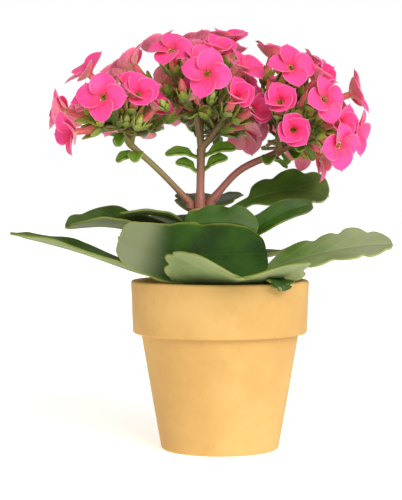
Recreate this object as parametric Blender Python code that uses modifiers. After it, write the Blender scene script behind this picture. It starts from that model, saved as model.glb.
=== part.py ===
"""A kalanchoe in bloom in a small tapered pot.

Metres, +Z up. The origin is the centre of the pot's underside, +X is the side of the long
right-hand leaf, and the plant's front faces -Y.

The pot and the soil are turned shapes. The main stem carries thick stalked leaves and ends in
a crown, from which three peduncles rise. Each peduncle forks into clusters, and each thin stalk
of a cluster meets the pedicel of one flower. Every leaf, bract and flower is its own solid, kept
JOINT_GAP away from what it grows on.
"""

import math

import bmesh
import bpy
from mathutils import Matrix, Vector

MM = 0.001

# Pot.
POT_HEIGHT = 0.057
RIM_RADIUS = 0.030
RIM_HEIGHT = 0.0178
RIM_TAPER = 0.0006
RIM_STEP = 0.0029
BASE_RADIUS = 0.0200
BASE_ROUNDING = 0.0012
RIM_ROUNDING = 0.0007
WALL = 0.0026
FLOOR_THICKNESS = 0.0030
DRAIN_COUNT = 4
DRAIN_RADIUS = 0.0018
DRAIN_RING_RADIUS = 0.0115
POT_STEPS = 32

# Soil.
SOIL_BELOW_RIM = 0.0095
SOCKET_DEPTH = 0.0080
SOIL_STEPS = 24

# Clearances: between pieces that touch, and of a leaf's flat foot from the round stem.
JOINT_GAP = 0.0003
FOOT_GAP = 0.0008

# Main stem.
STEM_RADIUS = 0.0034
CROWN_ABOVE_RIM = 0.0245
CROWN_LEAN = -0.0067
CROWN_RADIUS = 0.0046
CROWN_THICKNESS = 0.0040

# Peduncles and their forks.
PEDUNCLE_RADII = {"left": 0.0012, "centre": 0.0016, "right": 0.0014}
PEDUNCLE_SPACING = 0.0034
FORK_RADIUS = 0.0010
STALK_RADIUS = 0.0007
FORK_PULL = 0.42
STALK_LEAD = 0.0022

# Flowers.
FLOWER_WIDTH = 0.0170
PETAL_THICKNESS = 0.0007
PETAL_NOTCH_RADIUS = 0.0026
PETAL_BLUNTNESS = 0.35
PETAL_POINTS = 16
TUBE_RADIUS = 0.0015
TUBE_LENGTH = 0.0090
CALYX_RADIUS = 0.0021
CALYX_LENGTH = 0.0045
PEDICEL_RADIUS = 0.0007
PEDICEL_LENGTH = 0.0045
FLOWER_SPACING = 0.94
SETTLE_ROUNDS = 80
BLOOM_ABOVE_CROWN = 0.0185
BLOOM_OFFSET_X = 0.0017

# Leaves and bracts.
LEAF_THICKNESS = 0.0012
LEAF_STALK_HALF_WIDTH = 0.0019
LEAF_TIP_HALF_WIDTH = 0.0011
LEAF_ROWS = 9
TIP_CROWDING = 1.35
BLADE_SKEW = 1.0
BLADE_BLUNTNESS = 0.5
LEAF_COLUMNS = 4
BRACT_THICKNESS = 0.0008
BRACT_WIDTH = 0.0062
BRACT_STALK_HALF_WIDTH = 0.0009
BRACT_ROWS = 5
BRACT_COLUMNS = 2

# Each leaf: how far up the stem's free length its foot stands, and the way it leaves the stem
# (degrees), then the points of its midrib (mm, their heights counted from the foot), its width,
# the share of its length that is stalk, its roll at foot and tip, and the upward fold of its
# halves (degrees).
LEAVES = {
    "leaf_long_left": (0.162, 205,
        ((-15, -8, 4.5), (-28, -12, 8.2), (-45, -14, 14.3), (-58, -14, 18), (-69, -14, 20.6)),
        17, 0.28, 12, 12, 12),
    "leaf_upper_left": (0.515, 180,
        ((-15, -1, 4), (-25, -1, 8.2), (-38, -3, 10.8), (-52, -5, 10.2)),
        19, 0.25, 14, 12, 12),
    "leaf_crown_left": (0.809, 185,
        ((-16, -1, 3.4), (-24, -3, 5), (-33.5, -6, 5)),
        13, 0.25, -6, -6, 6),
    "leaf_front": (0.279, -70,
        ((6, -10, 7), (14, -12.5, 11.5), (5, -16.5, 13.2), (-13, -18, 11.4), (-33, -18.5, 9.6)),
        21, 0.36, 66, 74, 4),
    "leaf_front_folded": (0.103, -98,
        ((1, -11, 1.5), (4, -20.5, 5.4), (6, -30, 8.6), (7, -42, 9.4)),
        46, 0.50, 0, 0, 18),
    "leaf_right": (0.221, -8,
        ((12, -3, 4), (24, -5, 9), (36, -7, 12.2), (48, -7, 14.2), (57.5, -7, 14.6)),
        20, 0.25, -30, -26, 4),
    "leaf_upper_right": (0.809, 15,
        ((6, 5, 6.5), (16, 8, 11), (27, 8, 13), (37, 6, 11.4)),
        17, 0.34, -20, -16, 6),
    "leaf_folded_right": (0.632, -8,
        ((6, -3, 2), (13, -4, 6.5), (22, -4, 11.2), (31, -3, 13.4)),
        7, 0.20, -66, -66, 0),
    "leaf_back": (0.809, 95,
        ((-7, 12, 5), (-4, 22, 8), (-1, 34, 10.5)),
        25, 0.30, 0, 0, 8),
    "leaf_crown_front": (0.721, -100,
        ((-7, -9.5, 2.5), (-1, -9.2, 5.6), (9, -9.6, 3.6)),
        15, 0.27, -50, -60, 4),
    "leaf_back_left": (0.632, 130,
        ((-13, 10, 5.5), (-19, 20, 8), (-26, 31, 9)),
        18, 0.30, 0, 0, 6),
    "leaf_back_right": (0.338, 40,
        ((10, 9, 5.5), (20, 19, 9), (31, 31, 10)),
        20, 0.30, 8, 8, 6),
    "leaf_back_low": (0.162, 110,
        ((-8, 14, 5), (-14, 26, 8.6), (-20, 40, 13), (-24, 50, 15)),
        24, 0.30, 0, 0, 10),
}

# The small leaf that bends over the rim: how far up the stem's free length its foot stands, the
# way that it leaves, its stalk's distance in from the rim's edge and height above the foot (mm),
# then distances out from the rim's edge and heights above it (mm).
OVERHANG_ANGLE = -53
OVERHANG_FOOT_ANGLE = -30
OVERHANG_FOOT_SHARE = 0.132
OVERHANG_STALK = (-13, 2.5)
OVERHANG_POINTS = ((-3, 1.5), (1.5, 1.6), (3.4, 0.2), (4.0, -2.0))
OVERHANG_WIDTH = 10

# Heads: the fork point of each peduncle and its clusters of flowers, in flower widths from the
# middle of the bloom. Each flower: its face's centre, then the compass way and lift it faces.
HEADS = {
    "left": ((-1.47, -0.30, 0.15), (
        (((-1.90, -1.75, 1.00), -102, 8), ((-2.60, -1.35, 0.35), -150, -8)),
        (((-2.85, -0.60, 0.85), 185, 15), ((-2.20, -0.60, 1.60), -155, 45)),
        (((-1.50, -0.25, 1.85), 175, 55), ((-1.75, 0.80, 1.60), 140, 50)),
        (((-2.55, 0.60, 0.80), 160, 20), ((-1.90, 1.50, 0.75), 125, 15)),
    )),
    "centre": ((-0.08, 0.00, 0.06), (
        (((0.05, -1.65, 1.45), -90, 10), ((-0.65, -0.80, 1.95), -98, 48)),
        (((0.85, -0.85, 1.65), -35, 50), ((1.35, -0.05, 2.00), -25, 72)),
        (((-0.95, 0.30, 2.15), 165, 65), ((-0.15, 0.65, 2.25), 110, 75), ((0.55, 0.00, 2.25), -60, 80)),
        (((-0.75, 1.60, 1.45), 105, 30), ((0.35, 1.45, 1.75), 80, 45)),
        (((0.40, 2.05, 0.80), 85, 5), ((0.85, 1.15, 0.40), 72, -10)),
    )),
    "right": ((1.45, 0.10, 0.00), (
        (((1.65, -1.15, 1.55), -68, 30), ((2.25, -1.45, 0.95), -55, 12)),
        (((2.20, -0.25, 1.65), -10, 45), ((2.85, -0.35, 1.15), -5, 18)),
        (((2.95, -0.75, 0.45), -22, -8), ((2.55, -1.50, 0.20), -50, -16)),
        (((2.40, 0.05, -0.15), 0, -25),),
        (((1.75, 0.85, 1.65), 50, 52), ((2.60, 0.65, 0.85), 22, 12)),
        (((2.05, 1.50, 1.00), 58, 18), ((2.00, 1.75, 0.10), 55, -12), ((2.45, 0.85, -0.05), 22, -20)),
    )),
}

# Sideways bow of each peduncle at half its length, from the straight line, in mm.
BOWS = {"left": (0.0, 0.0, 0.7), "centre": (0.0, 0.0, 0.0), "right": (-1.6, 0.0, 2.3)}
CROWN_SIDE = {"left": -1, "centre": 0, "right": 1}

# Bracts: the peduncle, the share of its length, compass way, lift and roll (degrees), length in mm.
BRACTS = {
    "bract_low_left": ("centre", 0.58, 200, 22, 40, 8.5),
    "bract_low_right": ("centre", 0.62, -20, 25, -45, 9.5),
    "bract_high_left": ("centre", 0.86, 195, 5, 35, 11.5),
    "bract_high_right": ("centre", 0.89, -15, 12, -45, 11.5),
    "bract_left_front": ("left", 0.88, -95, -25, 0, 8.0),
    "bract_left_outer": ("left", 0.84, 195, -15, 30, 8.0),
    "bract_right_front": ("right", 0.90, -100, -20, 0, 8.0),
    "bract_right_outer": ("right", 0.90, 35, -25, -20, 8.0),
}

COLOURS = {
    "clay": ((0.83, 0.52, 0.25, 1), 0.6),
    "soil": ((0.035, 0.022, 0.014, 1), 0.95),
    "stem": ((0.27, 0.13, 0.09, 1), 0.55),
    "leaf": ((0.06, 0.16, 0.03, 1), 0.4),
    "bract": ((0.14, 0.27, 0.04, 1), 0.45),
    "flower": ((0.9, 0.08, 0.3, 1), 0.5),
}


# ---------------------------------------------------------------- helpers

def clear_scene():
    """Remove every object of the opened file."""
    for item in list(bpy.data.objects):
        bpy.data.objects.remove(item, do_unlink=True)


def new_collection(name, parent=None):
    """Make a collection under a parent or the scene."""
    made = bpy.data.collections.new(name)
    (parent or bpy.context.scene.collection).children.link(made)
    return made


def material(name):
    """Return the named Principled material, making it the first time."""
    if name in bpy.data.materials:
        return bpy.data.materials[name]
    colour, roughness = COLOURS[name]
    made = bpy.data.materials.new(name)
    made.use_nodes = True
    made.diffuse_color = colour
    shader = made.node_tree.nodes["Principled BSDF"]
    shader.inputs["Base Color"].default_value = colour
    shader.inputs["Roughness"].default_value = roughness
    return made


def add_object(name, data, collection, material_name=None):
    """Link a new object that shows the data."""
    made = bpy.data.objects.new(name, data)
    collection.objects.link(made)
    if material_name and not data.materials:
        data.materials.append(material(material_name))
    return made


def mark_guide(item):
    """Show an object as a wire guide that isn't rendered."""
    item.hide_render = True
    item.display_type = "WIRE"


def shade_round(mesh):
    """Smooth shading with sharp edges kept."""
    mesh.shade_smooth()
    mesh.set_sharp_from_angle(angle=math.radians(40))


def evaluated_mesh(item):
    """Return a new mesh of the object with its modifiers applied."""
    bpy.context.view_layer.update()
    graph = bpy.context.evaluated_depsgraph_get()
    return bpy.data.meshes.new_from_object(item.evaluated_get(graph))


def direction(azimuth, lift):
    """Unit vector for a compass way from +X and a lift from the horizontal, in degrees."""
    turn, rise = math.radians(azimuth), math.radians(lift)
    return Vector((math.cos(turn) * math.cos(rise), math.sin(turn) * math.cos(rise), math.sin(rise)))


def smooth_path(points, share):
    """Point and tangent at a share of a smooth curve through the points."""
    spans = len(points) - 1
    place = min(max(share, 0.0), 1.0) * spans
    index = min(int(place), spans - 1)
    t = place - index
    p1, p2 = points[index], points[index + 1]
    p0 = points[index - 1] if index else p1 * 2 - p2
    p3 = points[index + 2] if index + 2 <= spans else p2 * 2 - p1
    m1, m2 = (p2 - p0) / 2, (p3 - p1) / 2
    point = (p1 * (2 * t**3 - 3 * t**2 + 1) + m1 * (t**3 - 2 * t**2 + t)
             + p2 * (3 * t**2 - 2 * t**3) + m2 * (t**3 - t**2))
    tangent = (p1 * (6 * t**2 - 6 * t) + m1 * (3 * t**2 - 4 * t + 1)
               + p2 * (6 * t - 6 * t**2) + m2 * (3 * t**2 - 2 * t))
    return point, tangent.normalized()


def turned(name, profile, steps, collection, material_name):
    """A closed solid turned about Z from (radius, height) points, axis to axis."""
    mesh = bpy.data.meshes.new(name)
    rows = [(radius, 0.0, height) for radius, height in profile]
    mesh.from_pydata(rows, [(i, i + 1) for i in range(len(rows) - 1)], [])
    item = add_object(name, mesh, collection, material_name)
    screw = item.modifiers.new("turn", "SCREW")
    screw.steps = steps
    screw.render_steps = steps
    screw.use_merge_vertices = True
    screw.merge_threshold = 0.00005
    screw.use_smooth_shade = True
    return item


def tube(name, points, radii, resolution, collection, material_name):
    """A mesh tube with filled caps along the points."""
    curve = bpy.data.curves.new(name, "CURVE")
    curve.dimensions = "3D"
    curve.bevel_depth = 1.0
    curve.bevel_resolution = resolution
    curve.use_fill_caps = True
    spline = curve.splines.new("POLY")
    spline.points.add(len(points) - 1)
    for knot, point, radius in zip(spline.points, points, radii):
        knot.co = (*point, 1.0)
        knot.radius = radius
    guide = add_object(name + "_route", curve, collection)
    mesh = evaluated_mesh(guide)
    bpy.data.objects.remove(guide, do_unlink=True)
    shape = bmesh.new()
    shape.from_mesh(mesh)
    bmesh.ops.remove_doubles(shape, verts=shape.verts, dist=0.00001)
    shape.to_mesh(mesh)
    shape.free()
    shade_round(mesh)
    return add_object(name, mesh, collection, material_name)


def boolean(item, operation, operand):
    """Cut or join an object with another object or a whole collection."""
    cut = item.modifiers.new(operation.lower(), "BOOLEAN")
    cut.operation = operation
    cut.solver = "EXACT"
    if isinstance(operand, bpy.types.Collection):
        cut.operand_type = "COLLECTION"
        cut.collection = operand
    else:
        cut.object = operand


# ---------------------------------------------------------------- pot and soil

def rim_base():
    """Height of the rim's lower edge."""
    return POT_HEIGHT - RIM_HEIGHT


def body_top_radius():
    """Outer radius of the body where the rim steps out of it."""
    return RIM_RADIUS - RIM_TAPER - RIM_STEP


def wall_inner_radius(height):
    """Inner radius of the pot, which runs straight from its floor to its mouth."""
    outer = BASE_RADIUS + (body_top_radius() - BASE_RADIUS) * FLOOR_THICKNESS / rim_base()
    low, mouth = outer - WALL, RIM_RADIUS - WALL
    share = (height - FLOOR_THICKNESS) / (POT_HEIGHT - FLOOR_THICKNESS)
    return low + (mouth - low) * share


def rounded_corner(centre_radius, centre_height, rounding, start, end, points=3):
    """Points of a quarter-round corner between two angles, in degrees."""
    angles = [math.radians(start + (end - start) * i / (points - 1)) for i in range(points)]
    return [(centre_radius + rounding * math.cos(a), centre_height + rounding * math.sin(a)) for a in angles]


def make_pot(parts, guides):
    """The tapered pot with its thick rim and a ring of drain holes."""
    profile = [(0.0, FLOOR_THICKNESS), (wall_inner_radius(FLOOR_THICKNESS), FLOOR_THICKNESS)]
    profile.append((wall_inner_radius(POT_HEIGHT - RIM_ROUNDING), POT_HEIGHT - RIM_ROUNDING))
    profile += rounded_corner(wall_inner_radius(POT_HEIGHT) + RIM_ROUNDING, POT_HEIGHT - RIM_ROUNDING,
                              RIM_ROUNDING, 150, 90, 2)
    profile += rounded_corner(RIM_RADIUS - RIM_ROUNDING, POT_HEIGHT - RIM_ROUNDING, RIM_ROUNDING, 90, 0)
    profile += rounded_corner(RIM_RADIUS - RIM_TAPER - RIM_ROUNDING, rim_base() + RIM_ROUNDING,
                              RIM_ROUNDING, 0, -90)
    profile.append((body_top_radius(), rim_base()))
    profile += rounded_corner(BASE_RADIUS - BASE_ROUNDING, BASE_ROUNDING, BASE_ROUNDING, 0, -90)
    profile.append((0.0, 0.0))
    pot = turned("pot", profile, POT_STEPS, parts, "clay")
    drains = new_collection("drain_cutters", guides)
    for index in range(DRAIN_COUNT):
        turn = math.tau * (index + 0.5) / DRAIN_COUNT
        shape = bmesh.new()
        place = Matrix.Translation((DRAIN_RING_RADIUS * math.cos(turn), DRAIN_RING_RADIUS * math.sin(turn), 0))
        bmesh.ops.create_cone(shape, cap_ends=True, segments=12, radius1=DRAIN_RADIUS, radius2=DRAIN_RADIUS,
                              depth=4 * FLOOR_THICKNESS, matrix=place)
        mesh = bpy.data.meshes.new("drain_cutter")
        shape.to_mesh(mesh)
        shape.free()
        mark_guide(add_object(f"drain_cutter_{index + 1}", mesh, drains))
    boolean(pot, "DIFFERENCE", drains)


def soil_top():
    """Height of the soil's surface."""
    return POT_HEIGHT - SOIL_BELOW_RIM


def make_soil(parts):
    """The soil that fills the pot, with a socket round the foot of the stem."""
    low = FLOOR_THICKNESS + JOINT_GAP
    high = soil_top()
    socket = STEM_RADIUS + JOINT_GAP
    profile = [(0.0, high - SOCKET_DEPTH - JOINT_GAP), (socket, high - SOCKET_DEPTH - JOINT_GAP), (socket, high),
               (wall_inner_radius(high) - 2 * JOINT_GAP, high),
               (wall_inner_radius(low) - 2 * JOINT_GAP, low), (0.0, low)]
    turned("soil", profile, SOIL_STEPS, parts, "soil")


# ---------------------------------------------------------------- stems

def crown_top():
    """Centre of the top of the main stem."""
    return Vector((CROWN_LEAN, 0.0, POT_HEIGHT + CROWN_ABOVE_RIM))


def stem_axis(height):
    """Centre of the main stem at a height, on its line from the soil to the crown."""
    foot, top = Vector((0.0, 0.0, soil_top())), crown_top()
    share = min(max((height - foot.z) / (top.z - foot.z), 0.0), 1.0)
    return foot.lerp(top, share)


def make_main_stem(parts):
    """The thick stem, straight in its socket and leaning above it, with a swollen crown."""
    top = crown_top()
    foot = Vector((0.0, 0.0, soil_top() - SOCKET_DEPTH))
    crown_foot = stem_axis(top.z - CROWN_THICKNESS)
    points = [foot, Vector((0.0, 0.0, soil_top())), stem_axis((soil_top() + crown_foot.z) / 2),
              stem_axis(crown_foot.z - CROWN_THICKNESS / 2), stem_axis(top.z - CROWN_THICKNESS / 3),
              top.copy()]
    points[-2].x = points[-1].x
    radii = [STEM_RADIUS] * 4 + [CROWN_RADIUS] * 2
    tube("main_stem", points, radii, 3, parts, "stem")


def bloom_middle():
    """The middle of the bloom, which every head is placed from."""
    return crown_top() + Vector((BLOOM_OFFSET_X, 0.0, BLOOM_ABOVE_CROWN))


def head_point(head):
    """Where a peduncle forks."""
    return bloom_middle() + Vector(HEADS[head][0]) * FLOWER_WIDTH


def peduncle_route(head):
    """The points of a peduncle's centre line, from just above the crown to its fork."""
    start = crown_top() + Vector((PEDUNCLE_SPACING * CROWN_SIDE[head], 0.0, JOINT_GAP))
    end = head_point(head)
    lead = start + Vector((0.0, 0.0, PEDUNCLE_RADII[head]))
    middle = lead.lerp(end, 0.5) + Vector(BOWS[head]) * MM
    return [start, lead, middle, end]


def flower_length():
    """From a flower's face back to the end of its pedicel."""
    return TUBE_LENGTH + PEDICEL_LENGTH


def settled_flowers():
    """Place every flower, crowded apart until no two are nearer than their width allows.

    Returns a list of (head, cluster, face centre, facing direction).
    """
    flowers = []
    for head, (_, clusters) in HEADS.items():
        for number, cluster in enumerate(clusters):
            for centre, azimuth, lift in cluster:
                place = bloom_middle() + Vector(centre) * FLOWER_WIDTH
                flowers.append([head, number, place, direction(azimuth, lift)])
    wanted = FLOWER_SPACING * FLOWER_WIDTH
    for _ in range(SETTLE_ROUNDS):
        for index, first in enumerate(flowers):
            for second in flowers[index + 1:]:
                apart = second[2] - first[2]
                if apart.length < wanted:
                    push = apart.normalized() * (wanted - apart.length) / 2
                    first[2] -= push
                    second[2] += push
    return flowers


def make_peduncle(head, flowers, parts, guides):
    """One peduncle with its forks and flower stalks joined into a single body."""
    route = peduncle_route(head)
    dense = [smooth_path(route[1:], share / 6)[0] for share in range(7)]
    item = tube(f"peduncle_{head}", [route[0]] + dense, [PEDUNCLE_RADII[head]] * 8, 2, parts, "stem")
    forks = new_collection(f"peduncle_{head}_forks", guides)
    numbers = sorted({flower[1] for flower in flowers if flower[0] == head})
    for number in numbers:
        members = [flower for flower in flowers if flower[0] == head and flower[1] == number]
        ends = [place - facing * (flower_length() + JOINT_GAP) for _, _, place, facing in members]
        node = (sum(ends, Vector()) / len(ends)).lerp(route[-1], FORK_PULL)
        fork = tube(f"fork_{head}_{number}", [route[-1], node], [FORK_RADIUS] * 2, 1, forks, "stem")
        mark_guide(fork)
        for place, (end, member) in enumerate(zip(ends, members)):
            lead = end - member[3] * STALK_LEAD
            stalk = tube(f"stalk_{head}_{number}_{place}", [node, lead, end], [STALK_RADIUS] * 3, 1, forks, "stem")
            mark_guide(stalk)
    boolean(item, "UNION", forks)


# ---------------------------------------------------------------- leaves and bracts

def blade_share(share, stalk):
    """Half-width of a blade as a share of its widest, along its length."""
    if share <= stalk:
        return 0.0
    along = (share - stalk) / (1 - stalk)
    return max(math.sin(math.pi * along**BLADE_SKEW), 0.0) ** BLADE_BLUNTNESS


def make_blade(name, route, width, stalk, rolls, fold, sizes, parts, material_name):
    """A stalked blade along a midrib: a sheet given its thickness.

    route holds the midrib's points, rolls the turn about it at foot and tip, and sizes the
    thickness, the stalk's half-width and the rows and columns of the sheet.
    """
    thickness, stalk_half, rows, columns = sizes
    shape = bmesh.new()
    bmesh.ops.create_grid(shape, x_segments=rows - 1, y_segments=columns, size=1.0)
    for vert in shape.verts:
        share, across = 1 - ((1 - vert.co.x) / 2) ** TIP_CROWDING, vert.co.y
        point, tangent = smooth_path(route, share)
        side = tangent.cross(Vector((0, 0, 1))).normalized()
        up = side.cross(tangent)
        roll = math.radians(rolls[0] + (rolls[1] - rolls[0]) * share)
        side, up = side * math.cos(roll) + up * math.sin(roll), up * math.cos(roll) - side * math.sin(roll)
        least = stalk_half if share < 0.999 else LEAF_TIP_HALF_WIDTH
        half = max(width / 2 * blade_share(share, stalk), least)
        lean = math.radians(fold) * min(half / stalk_half - 1, 1)
        vert.co = point + side * across * half * math.cos(lean) + up * abs(across) * half * math.sin(lean)
    mesh = bpy.data.meshes.new(name)
    shape.to_mesh(mesh)
    shape.free()
    shade_round(mesh)
    item = add_object(name, mesh, parts, material_name)
    solid = item.modifiers.new("thickness", "SOLIDIFY")
    solid.thickness = thickness
    solid.offset = 0.0
    return item


LEAF_SIZES = (LEAF_THICKNESS, LEAF_STALK_HALF_WIDTH, LEAF_ROWS, LEAF_COLUMNS)
BRACT_SIZES = (BRACT_THICKNESS, BRACT_STALK_HALF_WIDTH, BRACT_ROWS, BRACT_COLUMNS)


def foot_level(share):
    """Height of a leaf's foot at a share of the stem's free length above the soil."""
    return soil_top() + share * (crown_top().z - soil_top())


def stem_foot(height, azimuth):
    """Where a leaf stands just off the main stem."""
    radius = CROWN_RADIUS if height > crown_top().z - 2 * CROWN_THICKNESS else STEM_RADIUS
    return stem_axis(height) + direction(azimuth, 0) * (radius + FOOT_GAP)


def make_leaves(parts):
    """Every stalked leaf, from its foot at the stem through its midrib's points."""
    rim = Vector((0.0, 0.0, POT_HEIGHT))
    for name, (share, azimuth, points, width, stalk, foot_roll, tip_roll, fold) in LEAVES.items():
        level = foot_level(share)
        route = [stem_foot(level, azimuth)]
        route += [Vector((0.0, 0.0, level)) + Vector(point) * MM for point in points]
        make_blade(name, route, width * MM, stalk, (foot_roll, tip_roll), fold, LEAF_SIZES, parts, "leaf")
    way, level = direction(OVERHANG_ANGLE, 0), foot_level(OVERHANG_FOOT_SHARE)
    inset, above = OVERHANG_STALK
    route = [stem_foot(level, OVERHANG_FOOT_ANGLE)]
    route += [way * (RIM_RADIUS + inset * MM) + Vector((0, 0, level + above * MM))]
    route += [rim + way * (RIM_RADIUS + out * MM) + Vector((0, 0, up * MM)) for out, up in OVERHANG_POINTS]
    make_blade("leaf_over_rim", route, OVERHANG_WIDTH * MM, 0.4, (0, 0), 0, LEAF_SIZES, parts, "leaf")


def make_bracts(parts):
    """The small leaves on the peduncles."""
    for name, (head, share, azimuth, lift, roll, length) in BRACTS.items():
        point, tangent = smooth_path(peduncle_route(head)[1:], share)
        way = direction(azimuth, lift)
        off = direction(azimuth, 0)
        off = (off - tangent * off.dot(tangent)).normalized()
        foot = point + off * (PEDUNCLE_RADII[head] + FOOT_GAP)
        middle = foot + direction(azimuth, lift + 12) * length * MM * 0.5
        route = [foot, middle, foot + way * length * MM]
        make_blade(name, route, BRACT_WIDTH, 0.18, (roll, roll), 8, BRACT_SIZES, parts, "bract")


# ---------------------------------------------------------------- flowers

def petal_reach(angle):
    """Outline radius of the four petals at an angle in radians."""
    swell = abs(math.cos(2 * angle)) ** PETAL_BLUNTNESS
    return PETAL_NOTCH_RADIUS + (FLOWER_WIDTH / 2 - PETAL_NOTCH_RADIUS) * swell


def make_corolla(guides):
    """The flat plate of four joined petals, as a guide."""
    curve = bpy.data.curves.new("corolla", "CURVE")
    curve.dimensions = "2D"
    curve.fill_mode = "BOTH"
    curve.extrude = PETAL_THICKNESS / 2
    spline = curve.splines.new("POLY")
    spline.points.add(PETAL_POINTS - 1)
    for index, knot in enumerate(spline.points):
        angle = math.tau * index / PETAL_POINTS
        reach = petal_reach(angle)
        knot.co = (reach * math.cos(angle), reach * math.sin(angle), 0, 1)
    spline.use_cyclic_u = True
    route = add_object("corolla_outline", curve, guides)
    mesh = evaluated_mesh(route)
    bpy.data.objects.remove(route, do_unlink=True)
    shape = bmesh.new()
    shape.from_mesh(mesh)
    bmesh.ops.remove_doubles(shape, verts=shape.verts, dist=0.00001)
    shape.to_mesh(mesh)
    shape.free()
    plate = add_object("corolla", mesh, guides, "flower")
    mark_guide(plate)
    return plate


def flower_mesh(guides):
    """Corolla, tube, calyx and pedicel as one body, its face at the origin and facing +Z."""
    throat = PETAL_THICKNESS * 0.2
    calyx_top = -TUBE_LENGTH + CALYX_LENGTH
    profile = [(0.0, throat), (TUBE_RADIUS * 0.9, throat), (TUBE_RADIUS, calyx_top),
               (CALYX_RADIUS, calyx_top - CALYX_LENGTH / 3), (CALYX_RADIUS * 0.85, -TUBE_LENGTH),
               (PEDICEL_RADIUS, -TUBE_LENGTH - CALYX_LENGTH / 4), (PEDICEL_RADIUS, -flower_length()),
               (0.0, -flower_length())]
    body = turned("flower_body", profile, 6, guides, "flower")
    mark_guide(body)
    boolean(body, "UNION", make_corolla(guides))
    mesh = evaluated_mesh(body)
    mesh.name = "flower"
    shade_round(mesh)
    return mesh


def make_flowers(flowers, parts, guides):
    """Each flower at its settled place, facing its own way."""
    mesh = flower_mesh(guides)
    for number, (head, _, place, facing) in enumerate(flowers):
        item = add_object(f"flower_{head}_{number + 1:02d}", mesh, parts, "flower")
        item.location = place
        item.rotation_mode = "QUATERNION"
        item.rotation_quaternion = facing.to_track_quat("Z", "Y")


def main():
    """Build the whole plant."""
    clear_scene()
    parts = new_collection("potted_kalanchoe")
    guides = new_collection("guides")
    flowers = settled_flowers()
    make_pot(parts, guides)
    make_soil(parts)
    make_main_stem(parts)
    for head in HEADS:
        make_peduncle(head, flowers, parts, guides)
    make_leaves(parts)
    make_bracts(parts)
    make_flowers(flowers, parts, guides)


main()
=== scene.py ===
import logging
import math
import random
from collections.abc import Callable, Iterable, Sequence
from dataclasses import dataclass, field
from enum import Enum

import bmesh
import bpy
from bmesh.types import BMesh, BMFace, BMVert
from mathutils import Matrix, Vector, noise


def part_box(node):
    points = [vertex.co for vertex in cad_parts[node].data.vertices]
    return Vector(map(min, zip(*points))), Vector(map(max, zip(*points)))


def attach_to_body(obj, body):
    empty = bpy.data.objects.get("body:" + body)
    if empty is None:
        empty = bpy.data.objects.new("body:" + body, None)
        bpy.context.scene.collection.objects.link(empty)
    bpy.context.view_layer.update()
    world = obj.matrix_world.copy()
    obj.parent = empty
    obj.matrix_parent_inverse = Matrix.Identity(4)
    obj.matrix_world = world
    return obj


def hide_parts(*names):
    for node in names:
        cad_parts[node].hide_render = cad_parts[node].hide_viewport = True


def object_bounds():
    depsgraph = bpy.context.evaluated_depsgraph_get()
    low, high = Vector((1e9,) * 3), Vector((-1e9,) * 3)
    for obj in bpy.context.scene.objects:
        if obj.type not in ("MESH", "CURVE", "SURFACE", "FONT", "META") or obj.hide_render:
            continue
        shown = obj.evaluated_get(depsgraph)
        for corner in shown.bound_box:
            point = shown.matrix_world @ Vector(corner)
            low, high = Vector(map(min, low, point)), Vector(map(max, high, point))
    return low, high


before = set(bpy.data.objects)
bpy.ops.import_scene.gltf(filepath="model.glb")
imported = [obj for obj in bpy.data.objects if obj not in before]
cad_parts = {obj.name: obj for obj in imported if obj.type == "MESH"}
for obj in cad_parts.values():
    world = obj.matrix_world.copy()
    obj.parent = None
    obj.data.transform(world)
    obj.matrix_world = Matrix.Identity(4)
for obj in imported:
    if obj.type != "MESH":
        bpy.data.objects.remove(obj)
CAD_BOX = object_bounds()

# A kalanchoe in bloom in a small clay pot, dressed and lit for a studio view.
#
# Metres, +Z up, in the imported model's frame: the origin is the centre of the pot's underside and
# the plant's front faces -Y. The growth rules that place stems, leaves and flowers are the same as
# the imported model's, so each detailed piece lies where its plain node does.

LOG = logging.getLogger("kalanchoe")
MM = 0.001
BODY = "root"
UP = Vector((0.0, 0.0, 1.0))
FRONT = Vector((0.0, -1.0, 0.0))


# ---------------------------------------------------------------- geometry helpers

def direction(azimuth: float, lift: float) -> Vector:
    """Unit vector for a compass way from +X and a lift from the horizontal.

    Args:
        azimuth: Degrees about +Z from +X.
        lift: Degrees above the horizontal.

    Returns:
        The unit vector.
    """
    turn, rise = math.radians(azimuth), math.radians(lift)
    return Vector((math.cos(turn) * math.cos(rise), math.sin(turn) * math.cos(rise), math.sin(rise)))


def smooth_path(points: Sequence[Vector], share: float) -> tuple[Vector, Vector]:
    """Point and tangent at a share of a smooth curve through the points.

    Args:
        points: The curve's own points.
        share: How far along, from 0 to 1.

    Returns:
        The point and the unit tangent.
    """
    spans = len(points) - 1
    place = min(max(share, 0.0), 1.0) * spans
    index = min(int(place), spans - 1)
    t = place - index
    p1, p2 = points[index], points[index + 1]
    p0 = points[index - 1] if index else p1 * 2 - p2
    p3 = points[index + 2] if index + 2 <= spans else p2 * 2 - p1
    m1, m2 = (p2 - p0) / 2, (p3 - p1) / 2
    point = (p1 * (2 * t**3 - 3 * t**2 + 1) + m1 * (t**3 - 2 * t**2 + t)
             + p2 * (3 * t**2 - 2 * t**3) + m2 * (t**3 - t**2))
    tangent = (p1 * (6 * t**2 - 6 * t) + m1 * (3 * t**2 - 4 * t + 1)
               + p2 * (6 * t - 6 * t**2) + m2 * (3 * t**2 - 2 * t))
    return point, tangent.normalized()


def blend(low: float, high: float, value: float) -> float:
    """Smooth step of a value from 0 at low to 1 at high.

    Args:
        low: Where the step starts.
        high: Where it ends.
        value: The value.

    Returns:
        The share, from 0 to 1.
    """
    share = min(max((value - low) / (high - low), 0.0), 1.0)
    return share * share * (3 - 2 * share)


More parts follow.
